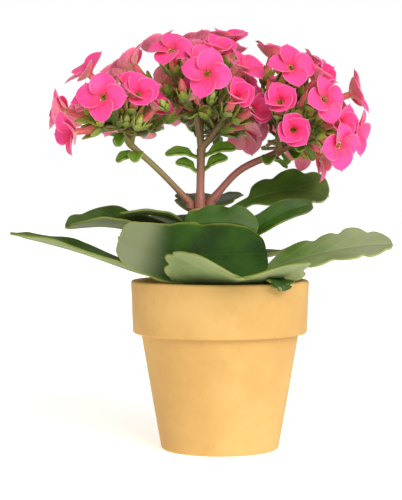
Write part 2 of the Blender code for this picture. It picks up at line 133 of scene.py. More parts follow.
def facing_matrix(place: Vector, facing: Vector, spin: float = 0.0) -> Matrix:
    """Matrix that turns +Z to a direction, spun about it, at a place.

    Args:
        place: Where the origin goes.
        facing: Where +Z goes.
        spin: Degrees about the direction.

    Returns:
        The matrix.
    """
    turn = facing.to_track_quat("Z", "Y").to_matrix().to_4x4()
    return Matrix.Translation(place) @ turn @ Matrix.Rotation(math.radians(spin), 4, "Z")


def set_uv(shape: BMesh, faces: Iterable[BMFace], place: Callable[[BMVert], tuple[float, float]]) -> None:
    """Write the UV map of some faces from their vertices.

    Args:
        shape: The mesh that holds the faces.
        faces: The faces.
        place: Gives the UV place of a vertex.
    """
    layer = shape.loops.layers.uv.get("UVMap") or shape.loops.layers.uv.new("UVMap")
    for face in faces:
        for loop in face.loops:
            loop[layer].uv = place(loop.vert)


def sweep(shape: BMesh, points: Sequence[Vector], radii: Sequence[float], sides: int = 10) -> None:
    """Add a closed round tube along some points.

    Args:
        shape: The mesh to add to.
        points: The tube's centre line.
        radii: Its radius at each point.
        sides: How many sides the tube has.
    """
    ring_before = []
    last = len(points) - 1
    for index, (point, radius) in enumerate(zip(points, radii)):
        way = (points[min(index + 1, last)] - points[max(index - 1, 0)]).normalized()
        made = bmesh.ops.create_circle(shape, cap_ends=index in (0, last), segments=sides, radius=radius,
                                       matrix=facing_matrix(point, way))
        ring = list({edge for vert in made["verts"] for edge in vert.link_edges})
        if ring_before:
            bmesh.ops.bridge_loops(shape, edges=ring_before + ring)
        ring_before = ring


def spin_profile(shape: BMesh, profile: Sequence[tuple[float, float]], steps: int) -> list[BMVert]:
    """Turn a (radius, height) profile about +Z.

    Args:
        shape: The mesh to add to.
        profile: The points, from the axis to the axis.
        steps: How many steps the full turn has.

    Returns:
        The vertices made.
    """
    before = set(shape.verts)
    verts = [shape.verts.new((radius, 0.0, height)) for radius, height in profile]
    edges = [shape.edges.new(pair) for pair in zip(verts, verts[1:])]
    bmesh.ops.spin(shape, geom=verts + edges, axis=(0, 0, 1), cent=(0, 0, 0), angle=math.tau,
                   steps=steps, use_merge=True)
    made = [vert for vert in shape.verts if vert not in before]
    bmesh.ops.remove_doubles(shape, verts=made, dist=0.000002)
    made = [vert for vert in shape.verts if vert not in before]
    faces = list({face for vert in made for face in vert.link_faces})
    bmesh.ops.recalc_face_normals(shape, faces=faces)
    return made


def sheet(shape: BMesh, rows: int, columns: int, place: Callable[[float, float], Vector],
          thickness: float, front: int = 0, back: int = 0) -> None:
    """Add a thin closed body that follows a surface.

    Args:
        shape: The mesh to add to.
        rows: Faces along the sheet.
        columns: Faces across it.
        place: Gives the point at (along 0 to 1, across -1 to 1).
        thickness: The sheet's thickness.
        front: Material index of the side that the surface's normal leaves.
        back: Material index of the other side.
    """
    made = bmesh.ops.create_grid(shape, x_segments=rows, y_segments=columns, size=1.0)
    verts = made["verts"]
    faces = list({face for vert in verts for face in vert.link_faces})
    set_uv(shape, faces, lambda vert: ((vert.co.x + 1) / 2, (vert.co.y + 1) / 2))
    for vert in verts:
        vert.co = place((vert.co.x + 1) / 2, vert.co.y)
    for face in faces:
        face.normal_update()
    outward = sum((face.normal.copy() for face in faces), Vector())
    result = bmesh.ops.solidify(shape, geom=faces, thickness=thickness)
    shell = [item for item in result["geom"] if isinstance(item, BMFace)]
    corners = {*verts, *(vert for face in shell for vert in face.verts)}
    whole = list({face for vert in corners for face in vert.link_faces})
    bmesh.ops.recalc_face_normals(shape, faces=whole)
    heading = sum((face.normal for face in shell), Vector()).dot(outward)
    for face in whole:
        face.material_index = front
    for face in (faces if heading > 0 else shell):
        if face.is_valid:
            face.material_index = back


# ---------------------------------------------------------------- shading helpers

Colour = tuple[float, float, float, float]


def colour(code: str) -> Colour:
    """Linear colour of a hexadecimal display colour.

    Args:
        code: Six hexadecimal digits.

    Returns:
        Red, green, blue and alpha.
    """
    parts = [int(code[index:index + 2], 16) / 255 for index in (0, 2, 4)]
    linear = [part / 12.92 if part <= 0.04045 else ((part + 0.055) / 1.055) ** 2.4 for part in parts]
    return linear[0], linear[1], linear[2], 1.0


class Tree:
    """A node tree with short ways to add and link nodes."""

    def __init__(self, tree: bpy.types.NodeTree) -> None:
        """Keep the tree and clear what it holds."""
        self.tree = tree
        tree.nodes.clear()

    def add(self, kind: str, inputs: dict[str, object] | None = None, **settings: object) -> bpy.types.Node:
        """Add a node, set its properties, and set or link its inputs.

        Args:
            kind: The node's type name without its "ShaderNode" start; a group's own node has its full name.
            inputs: Values, or output sockets to link, by input name or number.
            settings: Properties of the node.

        Returns:
            The node.
        """
        full = kind if kind.startswith("NodeGroup") else "ShaderNode" + kind
        node = self.tree.nodes.new(full)
        for name, value in settings.items():
            setattr(node, name, value)
        for name, value in (inputs or {}).items():
            socket = node.inputs[name]
            if isinstance(value, bpy.types.NodeSocket):
                self.tree.links.new(value, socket)
            else:
                socket.default_value = value
        return node

    def mix(self, factor: object, first: object, second: object, mode: str = "MIX") -> bpy.types.NodeSocket:
        """Mix two colours by a factor.

        Args:
            factor: The share of the second colour, or its socket.
            first: The first colour, or its socket.
            second: The second colour, or its socket.
            mode: How they blend.

        Returns:
            The result's socket.
        """
        node = self.add("Mix", data_type="RGBA", blend_type=mode)
        for index, value in ((0, factor), (6, first), (7, second)):
            if isinstance(value, bpy.types.NodeSocket):
                self.tree.links.new(value, node.inputs[index])
            else:
                node.inputs[index].default_value = value
        return node.outputs[2]

    def maths(self, operation: str, first: object, second: object = 0.0) -> bpy.types.NodeSocket:
        """Add a Math node and return its output."""
        return self.add("Math", {0: first, 1: second}, operation=operation).outputs[0]

    def ramp(self, value: object, low: float, high: float, start: float = 0.0,
             end: float = 1.0) -> bpy.types.NodeSocket:
        """Map a value smoothly from one range to another.

        Args:
            value: The value's socket.
            low: Where the first range starts.
            high: Where it ends, above its start.
            start: Where the second range starts.
            end: Where it ends.

        Returns:
            The result's socket.
        """
        node = self.add("MapRange", {"Value": value, "From Min": low, "From Max": high, "To Min": start,
                                     "To Max": end}, interpolation_type="SMOOTHSTEP")
        return node.outputs["Result"]


class Effect(Enum):
    """The effects that several finishes share."""

    MOTTLE = "mottle"
    GRAIN = "fine_grain"
    VEINS = "blade_veins"
    MARGIN = "blade_margin"
    STREAKS = "length_streaks"


class Effects:
    """Builds each shared node group once and places it in materials."""

    def __init__(self) -> None:
        """Start with no group made."""
        self.made: dict[Effect, bpy.types.NodeTree] = {}
        self.builders = {Effect.MOTTLE: self.build_mottle, Effect.GRAIN: self.build_grain,
                         Effect.VEINS: self.build_veins, Effect.MARGIN: self.build_margin,
                         Effect.STREAKS: self.build_streaks}

    def start(self, effect: Effect, inputs: dict[str, float],
              output: str) -> tuple[Tree, bpy.types.Node, bpy.types.Node]:
        """Make an empty group with float sockets.

        Args:
            effect: The effect that the group makes.
            inputs: Each input's name and first value.
            output: The output's name.

        Returns:
            The tree, its input node and its output node.
        """
        group = bpy.data.node_groups.new(effect.value, "ShaderNodeTree")
        tree = Tree(group)
        for name, value in inputs.items():
            socket = group.interface.new_socket(name, in_out="INPUT", socket_type="NodeSocketFloat")
            socket.default_value = value
        group.interface.new_socket(output, in_out="OUTPUT", socket_type="NodeSocketFloat")
        self.made[effect] = group
        return tree, tree.add("NodeGroupInput"), tree.add("NodeGroupOutput")

    def build_mottle(self) -> None:
        """Soft patches: a mask from two sizes of noise."""
        tree, source, sink = self.start(Effect.MOTTLE, {"Scale": 60.0, "Low": 0.4, "High": 0.6}, "Mask")
        place = tree.add("TexCoord").outputs["Object"]
        noise_node = tree.add("TexNoise", {"Vector": place, "Scale": source.outputs["Scale"], "Detail": 4.0,
                                           "Roughness": 0.55})
        level = tree.add("MapRange", {"Value": noise_node.outputs["Fac"], "From Min": source.outputs["Low"],
                                      "From Max": source.outputs["High"]}, interpolation_type="SMOOTHSTEP")
        tree.tree.links.new(level.outputs["Result"], sink.inputs["Mask"])

    def build_grain(self) -> None:
        """Fine surface height: small cells under finer noise."""
        tree, source, sink = self.start(Effect.GRAIN, {"Scale": 900.0, "Cells": 0.5}, "Height")
        place = tree.add("TexCoord").outputs["Object"]
        fine = tree.add("TexNoise", {"Vector": place, "Scale": source.outputs["Scale"], "Detail": 3.0})
        cells = tree.add("TexVoronoi", {"Vector": place, "Scale": source.outputs["Scale"]})
        part = tree.maths("MULTIPLY", cells.outputs["Distance"], source.outputs["Cells"])
        total = tree.maths("ADD", fine.outputs["Fac"], part)
        tree.tree.links.new(total, sink.inputs["Height"])

    def build_veins(self) -> None:
        """Midrib and slanting side veins of a blade, from its own map."""
        tree, source, sink = self.start(Effect.VEINS, {"Count": 8.0, "Midrib": 0.03, "Side": 0.5}, "Mask")
        split = tree.add("SeparateXYZ", {0: tree.add("UVMap", uv_map="UVMap").outputs[0]})
        across = tree.maths("ABSOLUTE", tree.maths("SUBTRACT", split.outputs["Y"], 0.5))
        rib = tree.maths("SUBTRACT", 1.0, tree.maths("DIVIDE", across, source.outputs["Midrib"]))
        slant = tree.maths("SUBTRACT", split.outputs["X"], tree.maths("MULTIPLY", across, 0.55))
        turns = tree.maths("MULTIPLY", slant, source.outputs["Count"])
        wave = tree.maths("SINE", tree.maths("MULTIPLY", turns, math.tau))
        side = tree.maths("MULTIPLY", tree.ramp(wave, 0.8, 1.0), source.outputs["Side"])
        total = tree.maths("MAXIMUM", tree.maths("MAXIMUM", rib, 0.0), side)
        tree.tree.links.new(total, sink.inputs["Mask"])

    def build_margin(self) -> None:
        """The band along a blade's edge, from its own map, with an uneven inner side."""
        tree, source, sink = self.start(Effect.MARGIN, {"Width": 0.1}, "Mask")
        split = tree.add("SeparateXYZ", {0: tree.add("UVMap", uv_map="UVMap").outputs[0]})
        half = tree.maths("ABSOLUTE", tree.maths("SUBTRACT", split.outputs["Y"], 0.5))
        across = tree.maths("MULTIPLY", half, 2.0)
        edge = tree.maths("MAXIMUM", across, tree.ramp(split.outputs["X"], 0.8, 1.0))
        place = tree.add("TexCoord").outputs["Object"]
        uneven = tree.add("TexNoise", {"Vector": place, "Scale": 240.0, "Detail": 2.0}).outputs["Fac"]
        inner = tree.maths("SUBTRACT", 1.0, tree.maths("MULTIPLY", source.outputs["Width"],
                                                       tree.maths("ADD", uneven, 0.5)))
        node = tree.add("MapRange", {"Value": edge, "From Min": inner, "From Max": 1.0},
                        interpolation_type="SMOOTHSTEP")
        tree.tree.links.new(node.outputs["Result"], sink.inputs["Mask"])

    def build_streaks(self) -> None:
        """Fine streaks that run the length of a petal, from its own map."""
        tree, source, sink = self.start(Effect.STREAKS, {"Count": 22.0, "Low": 0.45, "High": 0.7}, "Mask")
        place = tree.add("UVMap", uv_map="UVMap").outputs[0]
        split = tree.add("SeparateXYZ", {0: place})
        wide = tree.maths("MULTIPLY", split.outputs["Y"], source.outputs["Count"])
        long = tree.maths("MULTIPLY", split.outputs["X"], 2.2)
        joined = tree.add("CombineXYZ", {"X": long, "Y": wide})
        level = tree.add("TexNoise", {"Vector": joined.outputs[0], "Scale": 1.0, "Detail": 2.0})
        node = tree.add("MapRange", {"Value": level.outputs["Fac"], "From Min": source.outputs["Low"],
                                     "From Max": source.outputs["High"]}, interpolation_type="SMOOTHSTEP")
        tree.tree.links.new(node.outputs["Result"], sink.inputs["Mask"])

    def place(self, tree: Tree, effect: Effect, **values: float) -> bpy.types.NodeSocket:
        """Put an effect's group in a tree.

        Args:
            tree: The material's tree.
            effect: The effect.
            values: The group's inputs.

        Returns:
            The group's output.
        """
        if effect not in self.made:
            self.builders[effect]()
        node = tree.add("Group", node_tree=self.made[effect])
        for name, value in values.items():
            node.inputs[name].default_value = value
        return node.outputs[0]


EFFECTS = Effects()


def start_material(name: str, roughness: float,
                   **sockets: float) -> tuple[bpy.types.Material, Tree, bpy.types.Node]:
    """Make a material with a Principled shader.

    Args:
        name: The material's name.
        roughness: The shader's roughness.
        sockets: Other values of the shader, with _ for each space of a socket's name.

    Returns:
        The material, its tree and its shader.
    """
    made = bpy.data.materials.new(name)
    made.use_nodes = True
    tree = Tree(made.node_tree)
    shader = tree.add("BsdfPrincipled", {"Roughness": roughness})
    for socket, value in sockets.items():
        shader.inputs[socket.replace("_", " ")].default_value = value
    out = tree.add("OutputMaterial")
    made.node_tree.links.new(shader.outputs[0], out.inputs["Surface"])
    return made, tree, shader


def bump(tree: Tree, shader: bpy.types.Node, height: bpy.types.NodeSocket, distance: float,
         strength: float) -> None:
    """Drive a shader's normal from a height.

    Args:
        tree: The material's tree.
        shader: Its shader.
        height: The height's socket.
        distance: The bump's depth in metres.
        strength: How strongly it shows.
    """
    node = tree.add("Bump", {"Height": height, "Distance": distance, "Strength": strength})
    tree.tree.links.new(node.outputs[0], shader.inputs["Normal"])


@dataclass(frozen=True)
class ClayFinish:
    """Pale matte terracotta with faint patches, pores and turning marks."""

    base: str = "CCA15C"
    pale: str = "D8B06C"
    warm: str = "BE8A46"
    roughness: float = 0.62

    def material(self) -> bpy.types.Material:
        """Build the material.

        Returns:
            The material.
        """
        made, tree, shader = start_material("pale_clay", self.roughness, Specular_IOR_Level=0.3)
        patch = EFFECTS.place(tree, Effect.MOTTLE, Scale=38.0, Low=0.35, High=0.7)
        small = EFFECTS.place(tree, Effect.MOTTLE, Scale=420.0, Low=0.55, High=0.75)
        shade = tree.mix(patch, colour(self.base), colour(self.pale))
        shade = tree.mix(tree.maths("MULTIPLY", small, 0.22), shade, colour(self.warm))
        tree.tree.links.new(shade, shader.inputs["Base Color"])
        place = tree.add("SeparateXYZ", {0: tree.add("TexCoord").outputs["Object"]})
        rings = tree.add("TexNoise", {"Vector": tree.add("CombineXYZ", {"Z": place.outputs["Z"]}).outputs[0],
                                      "Scale": 900.0, "Detail": 2.0})
        grain = EFFECTS.place(tree, Effect.GRAIN, Scale=1400.0, Cells=0.4)
        height = tree.maths("ADD", grain, tree.maths("MULTIPLY", rings.outputs["Fac"], 0.8))
        bump(tree, shader, height, 0.00006, 0.5)
        rough = tree.ramp(patch, 0.0, 1.0, self.roughness - 0.06, self.roughness + 0.08)
        tree.tree.links.new(rough, shader.inputs["Roughness"])
        return made


@dataclass(frozen=True)
class SoilFinish:
    """Dark damp peat, or a pale mineral grain in it."""

    name: str
    dark: str
    light: str

    def material(self) -> bpy.types.Material:
        """Build the material.

        Returns:
            The material.
        """
        made, tree, shader = start_material(self.name, 0.92)
        patch = EFFECTS.place(tree, Effect.MOTTLE, Scale=700.0, Low=0.35, High=0.68)
        shade = tree.mix(patch, colour(self.dark), colour(self.light))
        tree.tree.links.new(shade, shader.inputs["Base Color"])
        bump(tree, shader, EFFECTS.place(tree, Effect.GRAIN, Scale=1800.0, Cells=0.6), 0.0002, 0.8)
        return made


@dataclass(frozen=True)
class BladeFinish:
    """The skin of a fleshy leaf: mottled, with a grey tint towards the tip that is part wax and part painted
    sheen, with veins and a paler margin.
    """

    name: str
    deep: str
    light: str
    vein: str
    edge: str
    # bloom: colour of the grey tip tint, part wax and part painted sheen.
    bloom: str
    wax_and_sheen_share: float = 0.3
    edge_width: float = 0.09
    roughness: float = 0.46
    vein_share: float = 0.22
    edge_share: float = 0.6
    wax_and_sheen_range: tuple[float, float] = (0.45, 0.95)
    gloss: float = 0.28

    def material(self) -> bpy.types.Material:
        """Build the material.

        Returns:
            The material.
        """
        made, tree, shader = start_material(self.name, self.roughness, Subsurface_Weight=0.06,
                                            Subsurface_Scale=0.001, Specular_IOR_Level=self.gloss)
        patch = EFFECTS.place(tree, Effect.MOTTLE, Scale=70.0, Low=0.35, High=0.7)
        shade = tree.mix(patch, colour(self.deep), colour(self.light))
        specks = EFFECTS.place(tree, Effect.MOTTLE, Scale=900.0, Low=0.5, High=0.8)
        shade = tree.mix(tree.maths("MULTIPLY", specks, 0.25), shade, colour(self.light))
        veins = EFFECTS.place(tree, Effect.VEINS, Count=7.0, Midrib=0.035, Side=0.35)
        shade = tree.mix(tree.maths("MULTIPLY", veins, self.vein_share), shade, colour(self.vein))
        along = tree.add("SeparateXYZ", {0: tree.add("UVMap", uv_map="UVMap").outputs[0]}).outputs["X"]
        # Grey tint towards the tip: part wax tint, part painted sheen.
        wax_and_sheen_mask = tree.maths("MULTIPLY", tree.ramp(along, *self.wax_and_sheen_range), self.wax_and_sheen_share)
        shade = tree.mix(wax_and_sheen_mask, shade, colour(self.bloom))
        margin = EFFECTS.place(tree, Effect.MARGIN, Width=self.edge_width)
        shade = tree.mix(tree.maths("MULTIPLY", margin, self.edge_share), shade, colour(self.edge))
        tree.tree.links.new(shade, shader.inputs["Base Color"])
        rough = tree.ramp(patch, 0.0, 1.0, self.roughness - 0.05, self.roughness + 0.12)
        tree.tree.links.new(rough, shader.inputs["Roughness"])
        grain = EFFECTS.place(tree, Effect.GRAIN, Scale=700.0, Cells=0.5)
        sunk = tree.maths("MULTIPLY", veins, 0.8)
        height = tree.maths("SUBTRACT", tree.maths("MULTIPLY", grain, 0.5), sunk)
        bump(tree, shader, height, 0.00012, 0.45)
        return made


@dataclass(frozen=True)
class StemFinish:
    """A stem that turns from one colour at its foot to another at its top."""

    name: str
    foot: str
    top: str
    low: float
    high: float
    streak: str

    def material(self) -> bpy.types.Material:
        """Build the material.

        Returns:
            The material.
        """
        made, tree, shader = start_material(self.name, 0.42, Subsurface_Weight=0.04, Subsurface_Scale=0.001)
        height = tree.add("SeparateXYZ", {0: tree.add("TexCoord").outputs["Object"]}).outputs["Z"]
        shade = tree.mix(tree.ramp(height, self.low, self.high), colour(self.foot), colour(self.top))
        patch = EFFECTS.place(tree, Effect.MOTTLE, Scale=160.0, Low=0.45, High=0.75)
        shade = tree.mix(tree.maths("MULTIPLY", patch, 0.45), shade, colour(self.streak))
        tree.tree.links.new(shade, shader.inputs["Base Color"])
        bump(tree, shader, EFFECTS.place(tree, Effect.GRAIN, Scale=1500.0, Cells=0.5), 0.00008, 0.5)
        return made


@dataclass(frozen=True)
class PetalFinish:
    """A petal's skin: a colour that deepens towards the throat, with fine streaks and, where edge_share is
    set, a painted highlight along its edge.
    """

    name: str
    outer: str
    inner: str
    streak: str
    streak_share: float
    throat: str
    deepens_at: float = 0.45
    throat_end: float = 0.14
    roughness: float = 0.5
    # Colour of the painted highlight along the petal's edge.
    edge: str = "FFA6CC"
    edge_share: float = 0.0

    def material(self) -> bpy.types.Material:
        """Build the material.

        Returns:
            The material.
        """
        made, tree, shader = start_material(self.name, self.roughness, Subsurface_Weight=0.12,
                                            Subsurface_Scale=0.0008, Sheen_Weight=0.15,
                                            Specular_IOR_Level=0.3)
        along = tree.add("SeparateXYZ", {0: tree.add("UVMap", uv_map="UVMap").outputs[0]}).outputs["X"]
        patch = EFFECTS.place(tree, Effect.MOTTLE, Scale=170.0, Low=0.35, High=0.7)
        lifted = tree.maths("ADD", along, tree.maths("MULTIPLY", patch, 0.25))
        shade = tree.mix(tree.ramp(lifted, self.deepens_at - 0.3, self.deepens_at + 0.3),
                         colour(self.inner), colour(self.outer))
        streaks = EFFECTS.place(tree, Effect.STREAKS, Count=20.0, Low=0.42, High=0.72)
        shade = tree.mix(tree.maths("MULTIPLY", streaks, self.streak_share), shade, colour(self.streak))
        shade = tree.mix(tree.ramp(along, 0.0, self.throat_end, 1.0, 0.0), shade, colour(self.throat))
        # Painted highlight: a pale band along the petal's edge.
        if self.edge_share:
            margin = EFFECTS.place(tree, Effect.MARGIN, Width=0.16)
            shade = tree.mix(tree.maths("MULTIPLY", margin, self.edge_share), shade, colour(self.edge))
        tree.tree.links.new(shade, shader.inputs["Base Color"])
        grain = EFFECTS.place(tree, Effect.GRAIN, Scale=2200.0, Cells=0.3)
        bump(tree, shader, tree.maths("ADD", grain, tree.maths("MULTIPLY", streaks, 0.6)), 0.00006, 0.5)
        return made


@dataclass(frozen=True)
class PlainFinish:
    """A small piece's skin: one colour broken by patches."""

    name: str
    base: str
    other: str
    roughness: float = 0.5
    scale: float = 500.0

    def material(self) -> bpy.types.Material:
        """Build the material.

        Returns:
            The material.
        """
        made, tree, shader = start_material(self.name, self.roughness)
        patch = EFFECTS.place(tree, Effect.MOTTLE, Scale=self.scale, Low=0.35, High=0.65)
        shade = tree.mix(patch, colour(self.base), colour(self.other))
        tree.tree.links.new(shade, shader.inputs["Base Color"])
        bump(tree, shader, EFFECTS.place(tree, Effect.GRAIN, Scale=2500.0, Cells=0.4), 0.00005, 0.4)
        return made


class Skin(Enum):
    """How a leaf's upper side looks; one kind carries a painted sheen and one is a lighter copy with painted
    light.
    """

    DARK = "dark"
    # The front leaf's skin, with a painted sheen over its outer part.
    WAXY = "waxy"
    PALE = "pale"
    # Painted light: a lighter copy of the dark skin, for a leaf in the flowers' shade.
    LIT = "lit"
    BRACT = "bract"


class Palette:
    """Every finish of the object, each built once."""

    def __init__(self) -> None:
        """Build the materials."""
        self.clay = ClayFinish().material()
        self.peat = SoilFinish("peat", "1D140D", "4A3524").material()
        self.perlite = SoilFinish("perlite", "CFC8B8", "F4EFE2").material()
        self.leaf_top = BladeFinish("leaf_upper_skin", "24400F", "3C6318", "6F8E3C", "8C9A3C", "6C7C50",
                                    wax_and_sheen_share=0.25).material()
        # Painted light: a lighter copy of the upper skin, so that a leaf in shade looks lit.
        self.leaf_painted_light = BladeFinish("leaf_painted_light_skin", "3C5C1C", "5C842E", "8CA858", "A8B868", "7C8E60",
                                      wax_and_sheen_share=0.25).material()
        # Painted sheen: the grey over the front leaf's outer part stands in for the bright surroundings
        # reflected in it.
        self.leaf_painted_sheen = BladeFinish("leaf_painted_sheen_skin", "1F380C", "34581A", "54742E", "8C9640", "7E8664",
                                     wax_and_sheen_share=0.92, wax_and_sheen_range=(0.56, 0.80), vein_share=0.10,
                                     roughness=0.6, gloss=0.1).material()
        self.leaf_under = BladeFinish("leaf_under_skin", "728652", "8CA068", "A2AE80", "9C9C5A", "98A282",
                                      vein_share=0.3, roughness=0.55).material()
        self.leaf_pale = BladeFinish("leaf_pale_skin", "54782E", "86A05E", "B2C08C", "A2AA60", "A2AC86",
                                     vein_share=0.5, roughness=0.45, wax_and_sheen_share=0.7,
                                     wax_and_sheen_range=(0.3, 0.7)).material()
        self.bract_top = BladeFinish("bract_upper_skin", "4C7216", "6C922A", "92AE50", "A8BA66", "7E9A4A",
                                     wax_and_sheen_share=0.15).material()
        self.bract_under = BladeFinish("bract_under_skin", "5A7228", "728A3C", "90A05C", "90985A", "86965A",
                                       wax_and_sheen_share=0.15).material()
        # Both petal skins carry a painted highlight along the petal's edge.
        self.petal_front = PetalFinish("petal_front", "F14294", "EA2E68", "FA6CAC", 0.25, "D8703C",
                                       throat_end=0.06, edge_share=0.38).material()
        self.petal_back = PetalFinish("petal_back", "FB82AC", "F79C94", "FDD8C6", 0.55, "EAB48C",
                                      deepens_at=0.5, edge_share=0.5).material()
        self.tube = PetalFinish("corolla_tube", "E0606C", "C8B062", "F0BE96", 0.55, "A0B04C").material()
        self.sepal = PetalFinish("sepal", "9AA838", "5C7C20", "B4B85C", 0.35, "4C6A1C", deepens_at=0.6,
                                 roughness=0.42).material()
        self.pedicel = PlainFinish("pedicel", "66782A", "7E6234", 0.45).material()
        # On the anthers this is their own colour; on the throat's faces its dark brown is painted shade.
        self.anther = PlainFinish("anther", "D8A83A", "5A3A1C", 0.6, 1500.0).material()
        self.bud_green = PetalFinish("young_bud", "A8B45C", "6E8C30", "C4C47C", 0.4, "5A7A28").material()
        self.bud_salmon = PetalFinish("bud_skin", "E0646A", "C0AC62", "F0B08C", 0.6, "9DAE4A",
                                      deepens_at=0.40).material()
        self.skins = {
            Skin.DARK: [self.leaf_top, self.leaf_under],
            Skin.WAXY: [self.leaf_painted_sheen, self.leaf_under],
            Skin.PALE: [self.leaf_pale, self.leaf_under],
            Skin.LIT: [self.leaf_painted_light, self.leaf_under],
            Skin.BRACT: [self.bract_top, self.bract_under],
        }


# ---------------------------------------------------------------- placing pieces

def link_shape(name: str, shape: BMesh) -> bpy.types.Object:
    """Turn a mesh in the making into an object of the scene.

    Args:
        name: The object's name.
        shape: Its mesh; it is freed.

    Returns:
        The object.
    """
    mesh = bpy.data.meshes.new(name)
    shape.to_mesh(mesh)
    shape.free()
    item = bpy.data.objects.new(name, mesh)
    bpy.context.scene.collection.objects.link(item)
    return item


def with_modifiers(item: bpy.types.Object, *helpers: bpy.types.Object) -> BMesh:
    """Take an object's mesh with its modifiers applied, and remove the object.

    Args:
        item: The object.
        helpers: Other objects that its modifiers use; they are removed too.

    Returns:
        The mesh.
    """
    bpy.context.view_layer.update()
    graph = bpy.context.evaluated_depsgraph_get()
    result = bpy.data.meshes.new_from_object(item.evaluated_get(graph))
    for used in (item, *helpers):
        bpy.data.objects.remove(used, do_unlink=True)
    made = bmesh.new()
    made.from_mesh(result)
    return made


@dataclass
class Placed:
    """What has been placed so far, for the closing report."""

    names: list[str] = field(default_factory=list)
    triangles: int = 0


PLACED = Placed()


def place_piece(name: str, shape: BMesh, materials: Sequence[bpy.types.Material],
                nodes: Sequence[str] = (), subdivisions: int = 0) -> bpy.types.Object:
    """Turn a finished mesh into a piece that rides on the body.

    Args:
        name: The piece's name.
        shape: Its mesh, in place; it is freed.
        materials: Its materials, by index.
        nodes: The plain nodes that it stands for.
        subdivisions: Levels of subdivision surface.

    Returns:
        The piece.
    """
    piece = link_shape(name, shape)
    mesh = piece.data
    for item in materials:
        mesh.materials.append(item)
    mesh.shade_smooth()
    if subdivisions:
        smooth = piece.modifiers.new("smooth", "SUBSURF")
        smooth.levels = subdivisions
        smooth.render_levels = subdivisions
    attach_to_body(piece, BODY)
    if nodes:
        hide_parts(*nodes)
        check_box(piece, nodes)
    PLACED.names.append(name)
    count = len(mesh.polygons) * 2 * 4**subdivisions
    PLACED.triangles += count
    LOG.info("%s: about %d triangles", name, count)
    return piece


def check_box(piece: bpy.types.Object, nodes: Sequence[str], slack: float = 0.0025) -> None:
    """Report a piece that leaves the box of the plain nodes that it stands for.

    Args:
        piece: The piece.
        nodes: The plain nodes.
        slack: How far it may leave their box.
    """
    boxes = [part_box(node) for node in nodes]
    low = [min(box[0][axis] for box in boxes) - slack for axis in range(3)]
    high = [max(box[1][axis] for box in boxes) + slack for axis in range(3)]
    over = max(max(low[axis] - vert.co[axis], vert.co[axis] - high[axis])
               for vert in piece.data.vertices for axis in range(3))
    if over > 0:
        LOG.warning("%s leaves its box by %.1f mm more than the slack", piece.name, over / MM)


def remeshed(shape: BMesh, voxel: float, smoothing: int) -> BMesh:
    """Melt overlapping bodies into one smooth skin.

    Args:
        shape: The bodies; they are freed.
        voxel: Size of the remesh's cells.
        smoothing: Rounds of smoothing.

    Returns:
        The new mesh.
    """
    item = link_shape("to_melt", shape)
    melt = item.modifiers.new("melt", "REMESH")
    melt.mode = "VOXEL"
    melt.voxel_size = voxel
    made = with_modifiers(item)
    for _ in range(smoothing):
        bmesh.ops.smooth_vert(made, verts=made.verts, factor=0.5, use_axis_x=True, use_axis_y=True,
                              use_axis_z=True)
    return made


# ---------------------------------------------------------------- growth

class Head(Enum):
    """The three heads of flowers."""

    LEFT = "left"
    CENTRE = "centre"
    RIGHT = "right"


# Heads: the fork point of each peduncle and its clusters of flowers, in flower widths from the
# middle of the bloom. Each flower: its face's centre, then the compass way and lift it faces.
HEADS = {
    Head.LEFT: ((-1.47, -0.30, 0.15), (
        (((-1.90, -1.75, 1.00), -102, 8), ((-2.60, -1.35, 0.35), -150, -8)),
        (((-2.85, -0.60, 0.85), 185, 15), ((-2.20, -0.60, 1.60), -155, 45)),
        (((-1.50, -0.25, 1.85), 175, 55), ((-1.75, 0.80, 1.60), 140, 50)),
        (((-2.55, 0.60, 0.80), 160, 20), ((-1.90, 1.50, 0.75), 125, 15)),
    )),
    Head.CENTRE: ((-0.08, 0.00, 0.06), (
        (((0.05, -1.65, 1.45), -90, 10), ((-0.65, -0.80, 1.95), -98, 48)),
        (((0.85, -0.85, 1.65), -35, 50), ((1.35, -0.05, 2.00), -25, 72)),
        (((-0.95, 0.30, 2.15), 165, 65), ((-0.15, 0.65, 2.25), 110, 75), ((0.55, 0.00, 2.25), -60, 80)),
        (((-0.75, 1.60, 1.45), 105, 30), ((0.35, 1.45, 1.75), 80, 45)),
        (((0.40, 2.05, 0.80), 85, 5), ((0.85, 1.15, 0.40), 72, -10)),
    )),
    Head.RIGHT: ((1.45, 0.10, 0.00), (
        (((1.65, -1.15, 1.55), -68, 30), ((2.25, -1.45, 0.95), -55, 12)),
        (((2.20, -0.25, 1.65), -10, 45), ((2.85, -0.35, 1.15), -5, 18)),
        (((2.95, -0.75, 0.45), -22, -8), ((2.55, -1.50, 0.20), -50, -16)),
        (((2.40, 0.05, -0.15), 0, -25),),
        (((1.75, 0.85, 1.65), 50, 52), ((2.60, 0.65, 0.85), 22, 12)),
        (((2.05, 1.50, 1.00), 58, 18), ((2.00, 1.75, 0.10), 55, -12), ((2.45, 0.85, -0.05), 22, -20)),
    )),
}


@dataclass
class Bloom:
    """One open flower: its head, its cluster, its face's centre and the way it faces."""

    head: Head
    cluster: int
    face: Vector
    facing: Vector


